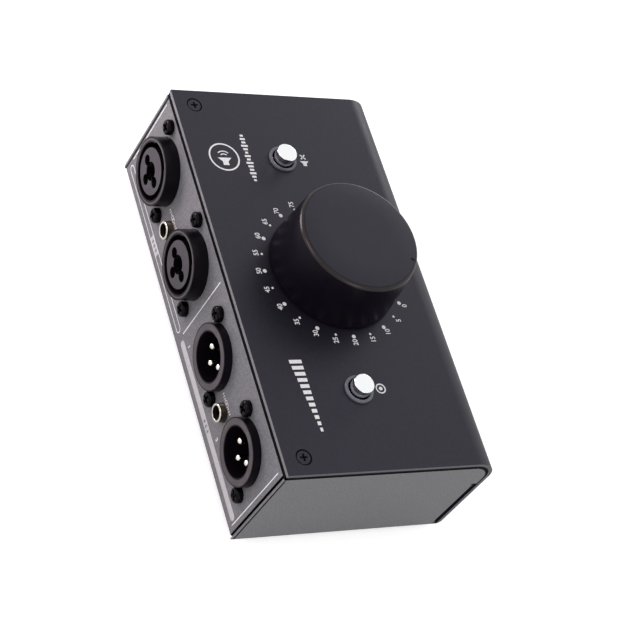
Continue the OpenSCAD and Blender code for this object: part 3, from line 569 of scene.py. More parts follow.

# Painted light on the rear cut edge, painted shade on the end cut edges.
finish_faces(cover, end_edge_painted_shade, lambda c, n: abs(n.x) > 0.95 and abs(c.x) > half_l - ON_FACE)
finish_faces(cover, rear_edge_painted_light, lambda c, n: n.y > 0.95 and c.y > rear_y - ON_FACE)
# Painted shade: black on the end bevels, the screw-hole walls, the wall tops and the corner gaps.
finish_faces(cover, painted_shade_black, lambda c, n: 0.1 < abs(n.x) < 0.95 and abs(c.x) > half_l - EDGE_R)
finish_faces(cover, painted_shade_black, lambda c, n: top_z - HOLE_DEPTH < c.z < top_z - 0.02 and in_screw_hole(c))
finish_faces(chassis, painted_shade_black, lambda c, n: n.z > 0.9 and c.z > wall_top - ON_FACE)
finish_faces(chassis, painted_shade_black, lambda c, n: abs(n.x) > 0.5 and CORNER_GAP[0] < abs(c.x) < CORNER_GAP[1])
print("finishes on the cover:", [m.name for m in cover.data.materials])

# %% [markdown]
# ## Turned parts
# Knobs, screws, rings and pins are bodies of revolution. `turned` spins a short profile of radius and
# height once round. A profile that touches the axis closes there when its doubles are merged.

# %% Turning helper
def turned(profile, segments=64):
    bm = bmesh.new()
    verts = [bm.verts.new((r * MM, 0, z * MM)) for r, z in profile]
    for a, b in zip(verts, verts[1:]):
        bm.edges.new((a, b))
    bmesh.ops.spin(bm, geom=bm.verts[:] + bm.edges[:], cent=(0, 0, 0), axis=(0, 0, 1),
                   angle=math.tau, steps=segments, use_merge=True)
    bmesh.ops.remove_doubles(bm, verts=bm.verts, dist=SAME_POINT)
    bmesh.ops.recalc_face_normals(bm, faces=bm.faces)
    return bm


def arc(r, z, radius, start, end, steps=6):
    """Points of a rounded corner in a profile, about (r, z), angles in degrees from outwards."""
    points = []
    for i in range(steps + 1):
        angle = math.radians(start + (end - start) * i / steps)
        points.append((r + radius * math.cos(angle), z + radius * math.sin(angle)))
    return points


# %% [markdown]
# A turned part is made upright at the origin and then put in its place. On the rear wall the local
# axes are those of someone who looks at it: X to the right, Y up and Z out of the wall.

# %% Places
ON_REAR = Matrix(((-1, 0, 0, 0), (0, 0, 1, 0), (0, 1, 0, 0), (0, 0, 0, 1)))
FLIPPED = Matrix.Rotation(math.pi, 4, "X")


def top_place(x, y, z):
    return Matrix.Translation(Vector((x, y, z)) * MM)


def rear_place(x, z, y=None):
    return Matrix.Translation(Vector((x, rear_y if y is None else y, z)) * MM) @ ON_REAR


def put(bm, place):
    bmesh.ops.transform(bm, matrix=place, verts=bm.verts)
    return bm


def joined(parts):
    """One bmesh from several."""
    whole = bmesh.new()
    for part in parts:
        mesh = mesh_of(part, "part")
        whole.from_mesh(mesh)
        bpy.data.meshes.remove(mesh)
    return whole


# %% [markdown]
# A notch crosses a turned surface, so a boolean modifier cuts it. The cutter is linked only while the
# result is read back. Sheets and strips are drawn flat and then thickened.

# %% Cutting, thickening and blocks
def carve(bm, cutter):
    body, knife = [linked("carve", mesh_of(part, "carve")) for part in (bm, cutter)]
    cut = body.modifiers.new("cut", "BOOLEAN")
    cut.operation = "DIFFERENCE"
    cut.solver = "EXACT"
    cut.object = knife
    graph = bpy.context.evaluated_depsgraph_get()
    result = bmesh.new()
    result.from_mesh(body.evaluated_get(graph).data)
    for solid in (body, knife):
        mesh = solid.data
        bpy.data.objects.remove(solid)
        bpy.data.meshes.remove(mesh)
    return result


def thicken(bm, x, z):
    """Extrudes all faces by millimetres along X and Z."""
    new = bmesh.ops.extrude_face_region(bm, geom=bm.faces[:])["geom"]
    moved = [v for v in new if isinstance(v, bmesh.types.BMVert)]
    bmesh.ops.translate(bm, vec=(x * MM, 0, z * MM), verts=moved)


def block(low_corner, high_corner):
    bm = bmesh.new()
    bmesh.ops.create_cube(bm, size=1)
    a = Vector(low_corner) * MM
    b = Vector(high_corner) * MM
    bmesh.ops.scale(bm, vec=b - a, verts=bm.verts)
    bmesh.ops.translate(bm, vec=(a + b) / 2, verts=bm.verts)
    return bm


# %% [markdown]
# The joint between the walls and the cover is painted shade all along: a thin black strip stands on the
# three walls, a little behind their outer faces, and closes the view through the joint. On the end walls
# it follows the cover's bend down at the front.

# %% Strip in the joint
COVER_T = 1.3
COVER_BEND_R = 9
WALL_BEND_R = 7.1
STRIP_BACK = 0.15
STRIP_WIDTH = 0.5
BURIED = 0.05
BEND_STEPS = 12
strip_low = wall_top - BURIED
strip_high = top_z - COVER_T + BURIED
strip_x = high("chassis").x - STRIP_BACK
strip_y = rear_y - STRIP_BACK


def end_strip(side):
    """Runs along an end wall's top edge and round its front corner."""
    bend_y = low("cover").y + COVER_BEND_R
    upper_r = COVER_BEND_R - COVER_T + BURIED
    lower_r = WALL_BEND_R - BURIED
    upper = [(strip_y, strip_high)] + arc(bend_y, top_z - COVER_BEND_R, upper_r, 90, 180, BEND_STEPS)
    lower = [(strip_y, strip_low)] + arc(bend_y, wall_top - WALL_BEND_R, lower_r, 90, 180, BEND_STEPS)
    bm = bmesh.new()
    rows = [[bm.verts.new(Vector((side * strip_x, y, z)) * MM) for y, z in row] for row in (upper, lower)]
    for a, b, c, d in zip(rows[0], rows[0][1:], rows[1][1:], rows[1]):
        bm.faces.new((a, b, c, d))
    thicken(bm, -side * STRIP_WIDTH, 0)
    return bm


parts = [end_strip(-1), end_strip(1)]
parts.append(block((-strip_x, strip_y - STRIP_WIDTH, strip_low), (strip_x, strip_y, strip_high)))
make_piece("joint_painted_shade_strip", joined(parts), painted_shade_black, "unit")
print("strip from", round(strip_low, 2), "to", round(strip_high, 2), "mm up")

# %% [markdown]
# ## Dial
# The dial is a plastic knob with a slightly tapered side, a soft shoulder and a top that drops by a
# third of a millimetre towards its edge. The outline runs from the middle of the top over the
# shoulder and down the side, then up into the hollow: a skirt, and a boss round the brass insert.

# %% Outline of the dial
DIAL_FOOT_R = radius("knob")
DIAL_TOP_R = 20.85
FLAT_R = DIAL_TOP_R / 2
SHOULDER = 1.5
CROWN_DROP = 0.35
CROWN_STEPS = 8
SIDE_STEPS = 10
FOOT_EDGE = 0.3
SKIRT_R = DIAL_TOP_R - 2.4
BOSS_WALL = 2
BOSS_LIFT = 3

foot = low("knob").z
crown = high("knob").z
ceiling = high("knob_insert").z
insert_r = radius("knob_insert")
slope = (DIAL_FOOT_R - DIAL_TOP_R) / (crown - foot)
shoulder_z = crown - CROWN_DROP - SHOULDER

curve_r = DIAL_TOP_R - SHOULDER - FLAT_R
profile = [(0, crown)]
for i in range(CROWN_STEPS):
    drop = CROWN_DROP * (i / CROWN_STEPS) ** 2.5
    profile.append((FLAT_R + curve_r * i / CROWN_STEPS, crown - drop))
profile += arc(DIAL_TOP_R - SHOULDER, shoulder_z, SHOULDER, 84, 4, 14)
for i in range(1, SIDE_STEPS):
    z = shoulder_z - (shoulder_z - foot - FOOT_EDGE) * i / SIDE_STEPS
    profile.append((DIAL_TOP_R + slope * (crown - z), z))
profile += arc(DIAL_FOOT_R - FOOT_EDGE, foot + FOOT_EDGE, FOOT_EDGE, 0, -90, 3)
profile += [(SKIRT_R + 0.2, foot), (SKIRT_R, foot + 0.2), (SKIRT_R, ceiling)]
profile += [(insert_r + BOSS_WALL, ceiling), (insert_r + BOSS_WALL, foot + BOSS_LIFT)]
profile += [(insert_r, foot + BOSS_LIFT), (insert_r, ceiling), (0, ceiling)]
print("dial outline:", len(profile), "points, top", round(crown, 1), "foot", round(foot, 1))

# %% [markdown]
# A notch in the edge of the top is the dial's pointer, and at rest it stands at the 0 of the scale.
# Three finishes meet on the shoulder: the silky top, a thin dark line of painted shade where the
# shoulder begins, the smoother shoulder with its painted warm highlight, and again the darker finish
# of painted shade down the side. The normals tell them apart.

# %% Dial
NOTCH_AT = math.radians(240)
NOTCH_LENGTH = 2.6
NOTCH_WIDTH = 1.2
NOTCH_DEPTH = 0.6
SIDE_BELOW = shoulder_z + FOOT_EDGE

near_corner = (DIAL_TOP_R - NOTCH_LENGTH, -NOTCH_WIDTH / 2, crown - NOTCH_DEPTH)
knife = block(near_corner, (DIAL_TOP_R + 1, NOTCH_WIDTH / 2, crown + 1))
bmesh.ops.rotate(knife, verts=knife.verts, cent=(0, 0, 0), matrix=Matrix.Rotation(NOTCH_AT, 3, "Z"))
knob = put(carve(turned(profile, 180), knife), top_place(dial.x, dial.y, 0))
knob = stand_in("knob", "dial_knob", knob, dial_black)
# Painted shade on the side and in a thin band at the top's edge, a painted highlight on the shoulder.
finish_faces(knob, dial_side_painted_shade, lambda c, n: c.z < SIDE_BELOW or 0.95 < n.z < 0.985)
finish_faces(knob, dial_rim_painted_highlight, lambda c, n: c.z > SIDE_BELOW and 0.1 < n.z < 0.95)
print("dial faces:", len(knob.data.polygons), "notch", NOTCH_WIDTH, "mm wide")

# %% [markdown]
# ## Push buttons
# Each button is a short chrome stub in a dark ring that is pressed into the cover. The ring has a
# raised rim, a sunk floor and a low inner collar round the stub, both painted black as painted shade.
# The stub and its sprung plunger ride on the button's body.

# %% Buttons
CAP_EDGE = 0.45
CAP_BORE_R = 2.2
CAP_ROOF = 2
RING_BORE_R = 3.85
RING_TUBE = 0.5
RING_RIM = 1.0


def button_cap(node):
    r = radius(node)
    z = high(node).z
    foot = low(node).z
    profile = [(0, z), (r * 0.5, z), (r - 0.5, z)]
    profile += arc(r - CAP_EDGE, z - CAP_EDGE, CAP_EDGE, 90, 0, 6)
    profile += [(r, (z + foot) / 2), (r, foot + 0.2), (r - 0.2, foot), (CAP_BORE_R, foot)]
    profile += [(CAP_BORE_R, z - CAP_ROOF), (0, z - CAP_ROOF)]
    centre = middle(node)
    stand_in(node, node + "_turned", put(turned(profile, 72), top_place(centre.x, centre.y, 0)), chrome)


def button_ring(node):
    r = radius(node)
    top = high(node).z
    foot = low(node).z
    bore = RING_BORE_R
    inner = r - RING_RIM
    profile = [(bore + RING_TUBE, foot), (bore + RING_TUBE, top_z), (r - 0.05, top_z), (r, top_z + 0.05)]
    profile += arc(r - 0.22, top - 0.22, 0.22, 0, 90, 4)
    profile += arc(inner + 0.15, top - 0.15, 0.15, 90, 180, 3)
    profile += [(inner, top_z + 0.4), (bore + 0.45, top_z + 0.4), (bore + 0.4, top_z + 0.45)]
    profile += [(bore + 0.35, top_z + 0.55), (bore + 0.08, top_z + 0.55), (bore, top_z + 0.47)]
    profile += [(bore, foot), (bore + RING_TUBE, foot)]
    centre = middle(node)
    ring = put(turned(profile, 72), top_place(centre.x, centre.y, 0))
    ring = stand_in(node, node + "_turned", ring, bezel_black)
    # Painted shade: the sunk floor and inner collar inside the rim are painted black.
    finish_faces(ring, painted_shade_black, lambda c, n: (c.xy - centre.xy).length < inner)


for name in ("mute", "mono"):
    button_cap(name + "_cap")
    button_ring(name + "_bezel")
    print(name, "cap top", round(high(name + "_cap").z, 1), "ring top", round(high(name + "_bezel").z, 1))

# %% [markdown]
# ## Screws
# Every screw has a cross recess with tapered walls. The head is turned and left open in its middle.
# A plus sign is drawn in the opening, the land between the two outlines is filled, and the plus is
# extruded down and drawn in.

# %% Screw shapes
RECESS_TAPER = 0.62


def plus_outline(bm, reach, half, z):
    """Edges of a plus sign, drawn as a closed loop."""
    quarter = [(reach, -half), (reach, half), (half, half)]
    corners = []
    for turn in range(4):
        spin = Matrix.Rotation(turn * math.pi / 2, 3, "Z")
        corners += [bm.verts.new(spin @ Vector((x * MM, y * MM, z * MM))) for x, y in quarter]
    return [bm.edges.new((a, b)) for a, b in zip(corners, corners[1:] + corners[:1])]


def screw(head, shank_r, shank_l, cross, depth):
    """head: profile from the land's edge outwards and down to the shank. cross: reach of the recess."""
    land_z = head[0][1]
    profile = head + [(shank_r, -shank_l + 0.4), (shank_r - 0.4, -shank_l), (0, -shank_l)]
    bm = turned(profile, 40)
    rim = [e for e in bm.edges if e.is_boundary]
    plus = plus_outline(bm, cross, cross / 3.6, land_z)
    bmesh.ops.triangle_fill(bm, edges=rim + plus, use_beauty=True)
    walls = bmesh.ops.extrude_edge_only(bm, edges=plus)["geom"]
    low_verts = [v for v in walls if isinstance(v, bmesh.types.BMVert)]
    low_edges = [e for e in walls if isinstance(e, bmesh.types.BMEdge)]
    low_edges = [e for e in low_edges if all(v in low_verts for v in e.verts)]
    bmesh.ops.translate(bm, vec=(0, 0, -depth * MM), verts=low_verts)
    bmesh.ops.scale(bm, vec=(RECESS_TAPER, RECESS_TAPER, 1), verts=low_verts)
    bmesh.ops.contextual_create(bm, geom=low_edges)
    return bm


def pan_head(r, h, shank_r):
    """A low dome over a short upright edge."""
    dome = [(r * 0.66, h), (r * 0.8, h * 0.97), (r * 0.91, h * 0.88), (r * 0.98, h * 0.74), (r, h * 0.58)]
    return dome + [(r, 0.08), (r - 0.08, 0), (shank_r, 0)]


def countersunk_head(r, shank_r):
    """A cone under a thin upright rim, a hair below the surface."""
    rim = 0.12
    sunk = 0.06
    return [(r * 0.72, -0.05), (r - rim, -sunk), (r, -sunk - rim), (shank_r, -(r - shank_r) - rim - sunk)]


# %% [markdown]
# One screw goes to each solid of a node. The rear ones stop at different angles, as on a real box.
# The angle follows from the place, so it is the same on every run.

# %% Screws in their places
def rear_screw_place(centre):
    return rear_place(centre.x, centre.z) @ Matrix.Rotation(math.radians(20 + 35 * centre.x), 4, "Z")


def upright_at(z, turn=Matrix()):
    """The place function of screws that all stand at one height."""
    return lambda centre: top_place(centre.x, centre.y, z) @ turn


def screw_set(node, name, shape, place, material):
    """shape: head, shank radius, shank length, reach and depth of the cross."""
    parts = [put(screw(*shape), place(between(box))) for box in solids_of(node)]
    print(name, len(parts))
    stand_in(node, name, joined(parts), material)


socket_screw = (pan_head(2.65, 2.2, 1.3), 1.3, 10, 1.85, 1.4)
top_screw = (countersunk_head(2.35, 1.5), 1.5, 5, 1.3, 1.0)
under_screw = (pan_head(2.75, 1.8, 1.5), 1.5, 5, 1.6, 1.1)
spacer_screw = (pan_head(2.75, 1.8, 1.5), 1.5, 6.6, 1.6, 1.1)
screw_set("connector_screws", "socket_screws", socket_screw, rear_screw_place, screw_gloss)
screw_set("cover_screws", "top_screws", top_screw, upright_at(top_z), cover_black)
screw_set("base_screws", "under_screws", under_screw, upright_at(under_z, FLIPPED), screw_black)
board_z = low("control_board").z
screw_set("board_screws", "spacer_screws", spacer_screw, upright_at(board_z, FLIPPED), zinc_steel)

# %% [markdown]
# ## Sockets
# The socket bodies are mouldings with softer edges than a sheet's, so they get a wider bevel. The
# front of each ring has fine turned ridges that catch the light, in a grey lighter than the black
# moulding: a painted sheen. The round insert of a combination socket is painted black inside its holes as
# painted shade.

# %% Socket bodies
RIDGE_PITCH = 0.17
RIDGE_LOW = -0.005
RIDGE_HIGH = 0.025
RIDGE_FOOT = -0.07
INSERT_FACE = 0.45


def ridged_face(node, r_in, r_out):
    """A flat ring of fine turned ridges on the front of a socket ring."""
    front = high(node).y - rear_y
    count = int((r_out - r_in) / RIDGE_PITCH)
    profile = [(r_in, front + RIDGE_FOOT)]
    for step in range(count + 1):
        lift = RIDGE_LOW if step % 2 else RIDGE_HIGH
        profile.append((r_in + (r_out - r_in) * step / count, front + lift))
    profile += [(r_out, front + RIDGE_FOOT), (r_in, front + RIDGE_FOOT)]
    ring = put(turned(profile, 96), rear_place(middle(node).x, middle(node).z))
    # The ridged ring takes the lighter grey, a painted sheen on the black front.
    make_piece(node + "_face", ring, ring_face_painted_sheen, "unit")


combo_front = high("combo_1_housing").y
for i in (1, 2):
    softened(f"combo_{i}_housing", socket_black, 0.55, 4)
    insert = softened(f"combo_{i}_insert", insert_grey, 0.3, 3)
    # Painted shade: faces deep in the insert's holes are black.
    finish_faces(insert, painted_shade_black, lambda c, n: c.y < combo_front - INSERT_FACE)
    ridged_face(f"combo_{i}_housing", 10.45, 11.0)
    softened(f"xlr_{i}_housing", socket_black, 0.3, 3)
    ridged_face(f"xlr_{i}_housing", 8.6, 10.6)
    softened(f"combo_{i}_contacts", contact_gold, 0.08, 1)
for name in ("in", "out"):
    softened(f"jack_{name}_body", socket_black, 0.2)
    softened(f"jack_{name}_wires", tinned_copper, 0.1, 1)
print("sockets stand", round(combo_front - rear_y, 2), "mm proud of the wall")

# %% [markdown]
# The pins of a three-pin socket have rounded noses and thin tails. Each is put where the CAD node
# has one.

# %% Pins
PIN_LENGTH = 17.6
TAIL_R = 0.45


def pin(r, tail_l):
    back = -PIN_LENGTH
    profile = [(0, 0)] + arc(0, -r * 0.9, r, 88, 0, 5) + [(r, back + 0.1), (r - 0.1, back)]
    profile += [(TAIL_R, back), (TAIL_R, back - tail_l), (0, back - tail_l)]
    return turned(profile, 32)


for i in (1, 2):
    node = f"xlr_{i}_pins"
    parts = []
    for box in solids_of(node):
        centre = between(box)
        tip = box[1].y
        r = (box[1].x - box[0].x) / 2
        parts.append(put(pin(r, tip - box[0].y - PIN_LENGTH), rear_place(centre.x, centre.z, tip)))
    stand_in(node, node + "_turned", joined(parts), pin_silver)
    print(node, len(parts), "pins, tips at", round(tip, 2))

# %% [markdown]
# A small jack shows as a threaded collar with a bright, rounded mouth. A row of shallow grooves
# stands in for the thread at this size. The threaded side takes a darker copy of the metal as painted
# shade, and the bore is painted black as painted shade.

# %% Jack collars
JACK_BORE_R = 1.8
THREAD_PITCH = 0.3
THREAD_DEPTH = 0.14
MOUTH_EDGE = 0.25


def jack_collar(node):
    r = radius(node)
    front = high(node).y - rear_y
    back = low(node).y - rear_y
    bore = JACK_BORE_R
    profile = [(bore, back), (r - 0.2, back), (r, back + 0.2)]
    z = back + THREAD_PITCH
    while z < front - 0.65:
        profile += [(r, z), (r - THREAD_DEPTH, z + 0.13)]
        z += THREAD_PITCH
    profile += [(r, front - 0.45)] + arc(r - MOUTH_EDGE, front - MOUTH_EDGE, MOUTH_EDGE, 0, 90, 4)
    profile += arc(bore + 0.67, front - 0.12, 0.12, 90, 180, 3)
    profile += [(bore + 0.55, front - 0.6), (bore, front - 1.2), (bore, back)]
    centre = middle(node)
    collar = put(turned(profile, 64), rear_place(centre.x, centre.z))
    collar = stand_in(node, node + "_turned", collar, nickel)
    # Painted shade: the thread darker, the bore black.
    finish_faces(collar, brass_painted_shade, lambda c, n: c.y < high(node).y - 0.3)
    finish_faces(collar, painted_shade_black, lambda c, n: (c.xz - centre.xz).length < bore + 0.58)
    print(collar.name, len(collar.data.polygons), "faces")


for name in ("in", "out"):
    jack_collar(f"jack_{name}_collar")

# %% [markdown]
# ## Feet
# Four rubber discs with a rounded edge and a shallow dish in the middle, as on stick-on feet.

# %% Feet
FOOT_ROUND = 0.8


def foot_shape(r, h):
    profile = [(0, h), (r - 0.15, h), (r, h - 0.15), (r, FOOT_ROUND)]
    profile += arc(r - FOOT_ROUND, FOOT_ROUND, FOOT_ROUND, 0, -90, 5)
    profile += [(r * 0.5, 0), (r * 0.4, 0.25), (0, 0.3)]
    return turned(profile, 48)


parts = []
for box in solids_of("feet"):
    r = (box[1].x - box[0].x) / 2
    parts.append(put(foot_shape(r, box[1].z), top_place(between(box).x, between(box).y, 0)))
stand_in("feet", "rubber_feet", joined(parts), rubber)
print("feet:", len(parts))

# %% [markdown]
# ## Inside
# The photograph shows nothing inside, but the part comes apart, so every inner node gets its own
# finish and soft edges too.

# %% Inner nodes
inner = {
    "knob_insert": (turned_brass, 0.2), "pot_shaft": (turned_aluminium, 0.25),
    "pot_rotor": (carbon_brown, 0.1), "pot_bush": (turned_aluminium, 0.2),
    "pot_case": (pot_green, 0.25), "pot_tracks": (carbon_brown, 0.08),
    "pot_terminals": (tinned_copper, 0.06), "pot_washer": (zinc_steel, 0.08),
    "pot_nut": (zinc_steel, 0.2), "mute_plunger": (nylon_white, 0.15),
    "mono_plunger": (nylon_white, 0.15), "mute_switch_case": (switch_blue, 0.25),
    "mono_switch_case": (switch_blue, 0.25), "switch_terminals": (tinned_copper, 0.06),
    "control_board": (board_green, 0.1), "connector_board": (board_green, 0.1),
    "board_spacers": (turned_brass, 0.2), "resistors": (resistor_blue, 0.15),
    "upper_header": (nylon_white, 0.25), "lower_header": (nylon_white, 0.25),
    "ribbon_cable": (ribbon_grey, 0.15),
}
for node, (material, width) in inner.items():
    softened(node, material, width)
print("inner nodes dressed:", len(inner))

# %% [markdown]
# A return spring follows its switch: the frame squeezes the CAD node as the button goes down. A piece
# that only rides on a body would stay long, so the springs keep their nodes and get a finish.

# %% Springs
for node in ("mute_spring", "mono_spring"):
    nodes[node].data.materials.clear()
    nodes[node].data.materials.append(spring_steel)
print("springs keep their nodes")

# %% [markdown]
# ## Prints
# The markings are ink, a few hundredths of a millimetre thick. They are drawn flat in a sheet of
# discs, rings, bars and digits, which is then thickened and put on its surface. It starts a hair
# under the paint, so the ink has no gap.

# %% Drawing helpers
def outline_face(sheet, points):
    """One flat face from its corners."""
    sheet.faces.new([sheet.verts.new(Vector((x, y, 0)) * MM) for x, y in points])


def disc(sheet, x, y, r):
    bmesh.ops.create_circle(sheet, cap_ends=True, radius=r * MM, segments=24, matrix=top_place(x, y, 0))


def bar(sheet, x0, y0, x1, y1, width):
    """A straight stroke from one point to another."""
    along = Vector((x1 - x0, y1 - y0)) * MM
    centre = top_place((x0 + x1) / 2, (y0 + y1) / 2, 0)
    turn = Matrix.Rotation(math.atan2(along.y, along.x), 4, "Z")
    size = Matrix.Diagonal((along.length / 2, width * MM / 2, 1, 1))
    bmesh.ops.create_grid(sheet, x_segments=1, y_segments=1, size=1, matrix=centre @ turn @ size)


def hoop(sheet, x, y, r, width, start=0, end=360, segments=48):
    """A ring, or a part of one, drawn by spinning a short stroke about its centre."""
    centre = Vector((x, y, 0)) * MM
    whole = abs(end - start) >= 360
    radial = Matrix.Rotation(math.radians(start), 3, "Z") @ Vector((1, 0, 0))
    inside = sheet.verts.new(centre + radial * (r - width / 2) * MM)
    outside = sheet.verts.new(centre + radial * (r + width / 2) * MM)
    stroke = sheet.edges.new((inside, outside))
    bmesh.ops.spin(sheet, geom=[inside, outside, stroke], cent=centre, axis=(0, 0, 1),
                   angle=math.radians(end - start), steps=segments, use_merge=whole)


# %% [markdown]
# Figures come from a text object in Blender's own font, whose mesh is copied into the sheet.

# %% Figures, and from a sheet to a piece
FIGURE_SHARE = 0.73  # height of a figure in the font, as a share of its size
BOLDER = 0.022
INK = 0.03
SUNK = 0.01


def digits(sheet, text, x, y, height, width=1.0):
    """Plain figures, centred on a point."""
    curve = bpy.data.curves.new("digits", "FONT")
    curve.body = text
    curve.size = height * MM / FIGURE_SHARE
    curve.align_x = "CENTER"
    curve.align_y = "CENTER"
    curve.offset = BOLDER * height * MM
    figure = linked("digits", curve)
    graph = bpy.context.evaluated_depsgraph_get()
    mesh = bpy.data.meshes.new_from_object(figure.evaluated_get(graph))
    mesh.transform(top_place(x, y, 0) @ Matrix.Diagonal((width, 1, 1, 1)))
    sheet.from_mesh(mesh)
    bpy.data.objects.remove(figure)
    bpy.data.curves.remove(curve)
    bpy.data.meshes.remove(mesh)


def printed(name, sheet, place, ink=white_ink):
    """Thickens a flat drawing and lays it on its surface."""
    bmesh.ops.remove_doubles(sheet, verts=sheet.verts, dist=1e-8)
    for face in sheet.faces:
        if face.normal.z < 0:
            face.normal_flip()
    bmesh.ops.translate(sheet, vec=(0, 0, -SUNK * MM), verts=sheet.verts)
    thicken(sheet, 0, INK + SUNK)
    print(name, len(sheet.faces), "faces")
    make_piece(name, put(sheet, place), ink)


# %% [markdown]
# The dial's scale runs clockwise from 0 at the lower left to 100 at the lower right, with 50 at the
# rear. Every ten has a large dot, every five a small one, and the figures stand outside the dots.

# %% Scale of the dial
DOTS_R = 25.0
FIGURES_R = 27.1
FIGURE_H = 1.85
FIGURE_W = 0.92
DEGREES_PER_MARK = 3
scale = bmesh.new()
for value in range(0, 101, 5):
    angle = math.radians(90 + (50 - value) * DEGREES_PER_MARK)
    toward = Vector((math.cos(angle), math.sin(angle)))
    disc(scale, *(toward * DOTS_R), 0.7 if value % 10 == 0 else 0.42)
    digits(scale, str(value), *(toward * FIGURES_R), FIGURE_H, FIGURE_W)
printed("dial_scale", scale, top_place(dial.x, dial.y, top_z))

# %% [markdown]
# Plain pictures show what the controls do: a crossed loudspeaker for mute, a ring with one dot for
# mono, a ramp of bars for the volume. A loudspeaker in a circle over a row of bars marks the top.

# %% Pictures of the buttons
SPEAKER_BOX = ((-0.9, -0.35), (-0.4, -0.35), (-0.4, 0.35), (-0.9, 0.35))
SPEAKER_CONE = ((-0.4, -0.35), (0.1, -0.85), (0.1, 0.85), (-0.4, 0.35))
MARK_RIGHT = 0.2
MARK_FRONT = 8.3


def loudspeaker(sheet, x, y, size, waves=2):
    s = size / 2
    for outline in (SPEAKER_BOX, SPEAKER_CONE):
        outline_face(sheet, [(x + a * s, y + b * s) for a, b in outline])
    for i in range(waves):
        hoop(sheet, x + 0.05 * s, y, (0.55 + 0.38 * i) * s, 0.13 * s, -42, 42, 12)


top_marks = bmesh.new()
x = mute.x + MARK_RIGHT
y = mute.y - MARK_FRONT
loudspeaker(top_marks, x - 0.7, y, 4.0, 0)
for lean in (-0.9, 0.9):
    bar(top_marks, x + 0.3, y - lean, x + 2.1, y + lean, 0.45)
x = mono.x + MARK_RIGHT
y = mono.y - MARK_FRONT
hoop(top_marks, x, y, 1.6, 0.42)
disc(top_marks, x, y, 0.65)
print("marks of the buttons:", len(top_marks.faces), "faces")

# %% Badge and ramp
BADGE_X = 45.3
BADGE_Y = 24.4
BAR_ROW_Y = 15.4
BAR_HEIGHTS = (1.0, 1.6, 2.4, 1.6, 2.0, 2.6, 1.4, 2.2, 1.1, 1.7, 2.5, 1.5, 1.9, 1.2)
RAMP_X = -57.4
RAMP_Y = 19.8

hoop(top_marks, BADGE_X, BADGE_Y, 5.3, 0.55, segments=72)
loudspeaker(top_marks, BADGE_X - 0.6, BADGE_Y, 6.0)
for i, height in enumerate(BAR_HEIGHTS):
    x = BADGE_X - 9.1 + 1.4 * i
    bar(top_marks, x, BAR_ROW_Y - height / 2, x, BAR_ROW_Y + height / 2, 0.8)
for i in range(12):
    x = RAMP_X + 2.2 * i
    bar(top_marks, x, RAMP_Y, x, RAMP_Y + 0.6 + 0.32 * (i + 1), 1.3)
printed("top_marks", top_marks, top_place(0, 0, top_z))

# %% [markdown]
# Each end wall has one thin black line close to its upright rear edge: a line of painted shade beside
# the fold of the sheet. It is drawn like a print.

# %% Slits on the end walls
SLIT_IN = 0.45
SLIT_WIDTH = 0.55
SLIT_FOOT = under_z + 1.5
SLIT_TOP = wall_top - 0.4
for name, side in (("left", -1), ("right", 1)):
    along = side * (rear_y - SLIT_IN)
    slit = bmesh.new()
    bar(slit, along, SLIT_FOOT, along, SLIT_TOP, SLIT_WIDTH)
    upright = Matrix.Rotation(side * math.pi / 2, 4, "Z") @ Matrix.Rotation(math.pi / 2, 4, "X")
    place = top_place(side * high("chassis").x, 0, 0) @ upright
    printed(f"end_painted_shade_line_{name}", slit, place, painted_shade_black)


# %% [markdown]
# On the rear, a framed bar underlines the inputs and a filled one the outputs, with arrows into or
# out of the box instead of a word. Thin upright lines part the groups, and figures number the outputs.

# %% Prints on the rear
LINES = ((-70.0, 8.5), (0.5, 8.0), (68.8, 4.2))
LINES_TOP = 39.4
LINE_WIDTH = 0.35
ON_WALL = rear_place(0, 2)


def framed(sheet, x0, y0, x1, y1, width):
    """An outline with rounded ends."""
    r = (y1 - y0) / 2
    y = (y0 + y1) / 2
    hoop(sheet, x0 + r, y, r, width, 90, 270, 16)
    hoop(sheet, x1 - r, y, r, width, -90, 90, 16)
    for edge in (y0, y1):
        bar(sheet, x0 + r, edge, x1 - r, edge, width)


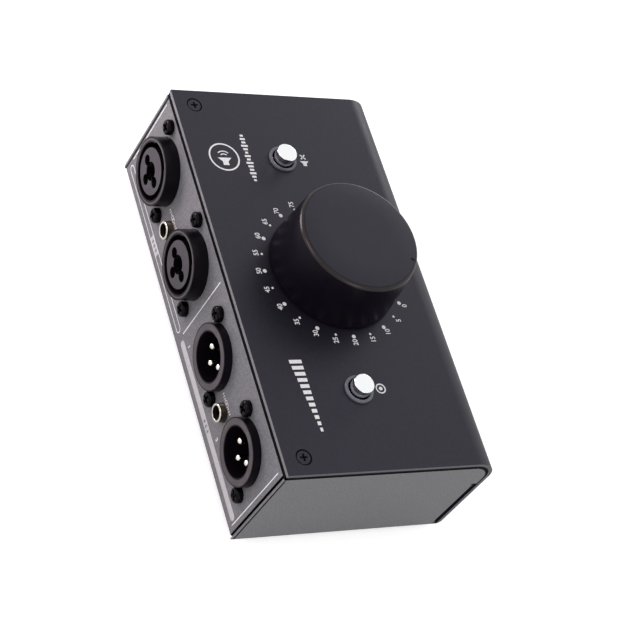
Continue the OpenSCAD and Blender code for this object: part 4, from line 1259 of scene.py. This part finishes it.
def pill(sheet, x0, y0, x1, y1, steps=12):
    """A filled bar with round ends, as one face."""
    r = (y1 - y0) / 2
    points = []
    for centre, start in ((x1 - r, -90), (x0 + r, 90)):
        for step in range(steps + 1):
            angle = math.radians(start + 180 * step / steps)
            points.append((centre + r * math.cos(angle), y0 + r + r * math.sin(angle)))
    outline_face(sheet, points)


def arrow(sheet, x, y, size, way):
    """A short arrow that points up (way 1) or down (way -1)."""
    bar(sheet, x, y - way * size * 0.5, x, y + way * size * 0.1, size * 0.28)
    tip = ((-0.45, 0.05), (0.45, 0.05), (0, 0.5))
    outline_face(sheet, [(x + a * size, y + way * b * size) for a, b in tip])


rear_marks = bmesh.new()
for x, foot_y in LINES:
    bar(rear_marks, x, LINES_TOP, x, foot_y, LINE_WIDTH)
printed("rear_marks", rear_marks, ON_WALL)

# %% [markdown]
# Rings and dashes stand between the sockets. The arrows lie on the bars' ink, so their place is one
# layer of ink further out.

# %% Marks of the groups
ARROW_SIZE = 1.6
ARROW_STEP = 1.9
ARROWS_Y = 5.85


def stereo_sign(sheet, x, y):
    """Two rings that overlap, between dashes."""
    for side in (-1, 1):
        hoop(sheet, x + side * 0.55, y, 0.72, 0.26, segments=32)
        for i in range(3):
            at = x + side * (1.9 + 0.95 * i)
            bar(sheet, at, y - 0.45, at, y + 0.45, 0.34)


group_marks = bmesh.new()
framed(group_marks, -69.0, 4.55, -1.5, 7.2, 0.28)
bars = bmesh.new()
bar(bars, -39.5, 5.875, -32.0, 5.875, 2.35)
pill(bars, 2.0, 4.5, 67.9, 7.3)
printed("group_bars", bars, ON_WALL, pale_ink)
stereo_sign(group_marks, -35.3, 22.5)
stereo_sign(group_marks, 35.0, 22.0)
digits(group_marks, "1", 6.3, 9.4, 1.6)
digits(group_marks, "2", 41.2, 9.9, 1.6)
printed("group_marks", group_marks, ON_WALL)

arrows = bmesh.new()
for i in (-1, 0, 1):
    arrow(arrows, -35.75 + ARROW_STEP * i, ARROWS_Y, ARROW_SIZE, 1)
    arrow(arrows, 34.0 + ARROW_STEP * i, ARROWS_Y, ARROW_SIZE, -1)
printed("arrow_marks", arrows, rear_place(0, 2, rear_y + INK), chassis_grey)

# %% [markdown]
# ## Finish
# The view layer is brought up to date once more. The dressed part must not grow.

# %% Finish
bpy.context.view_layer.update()
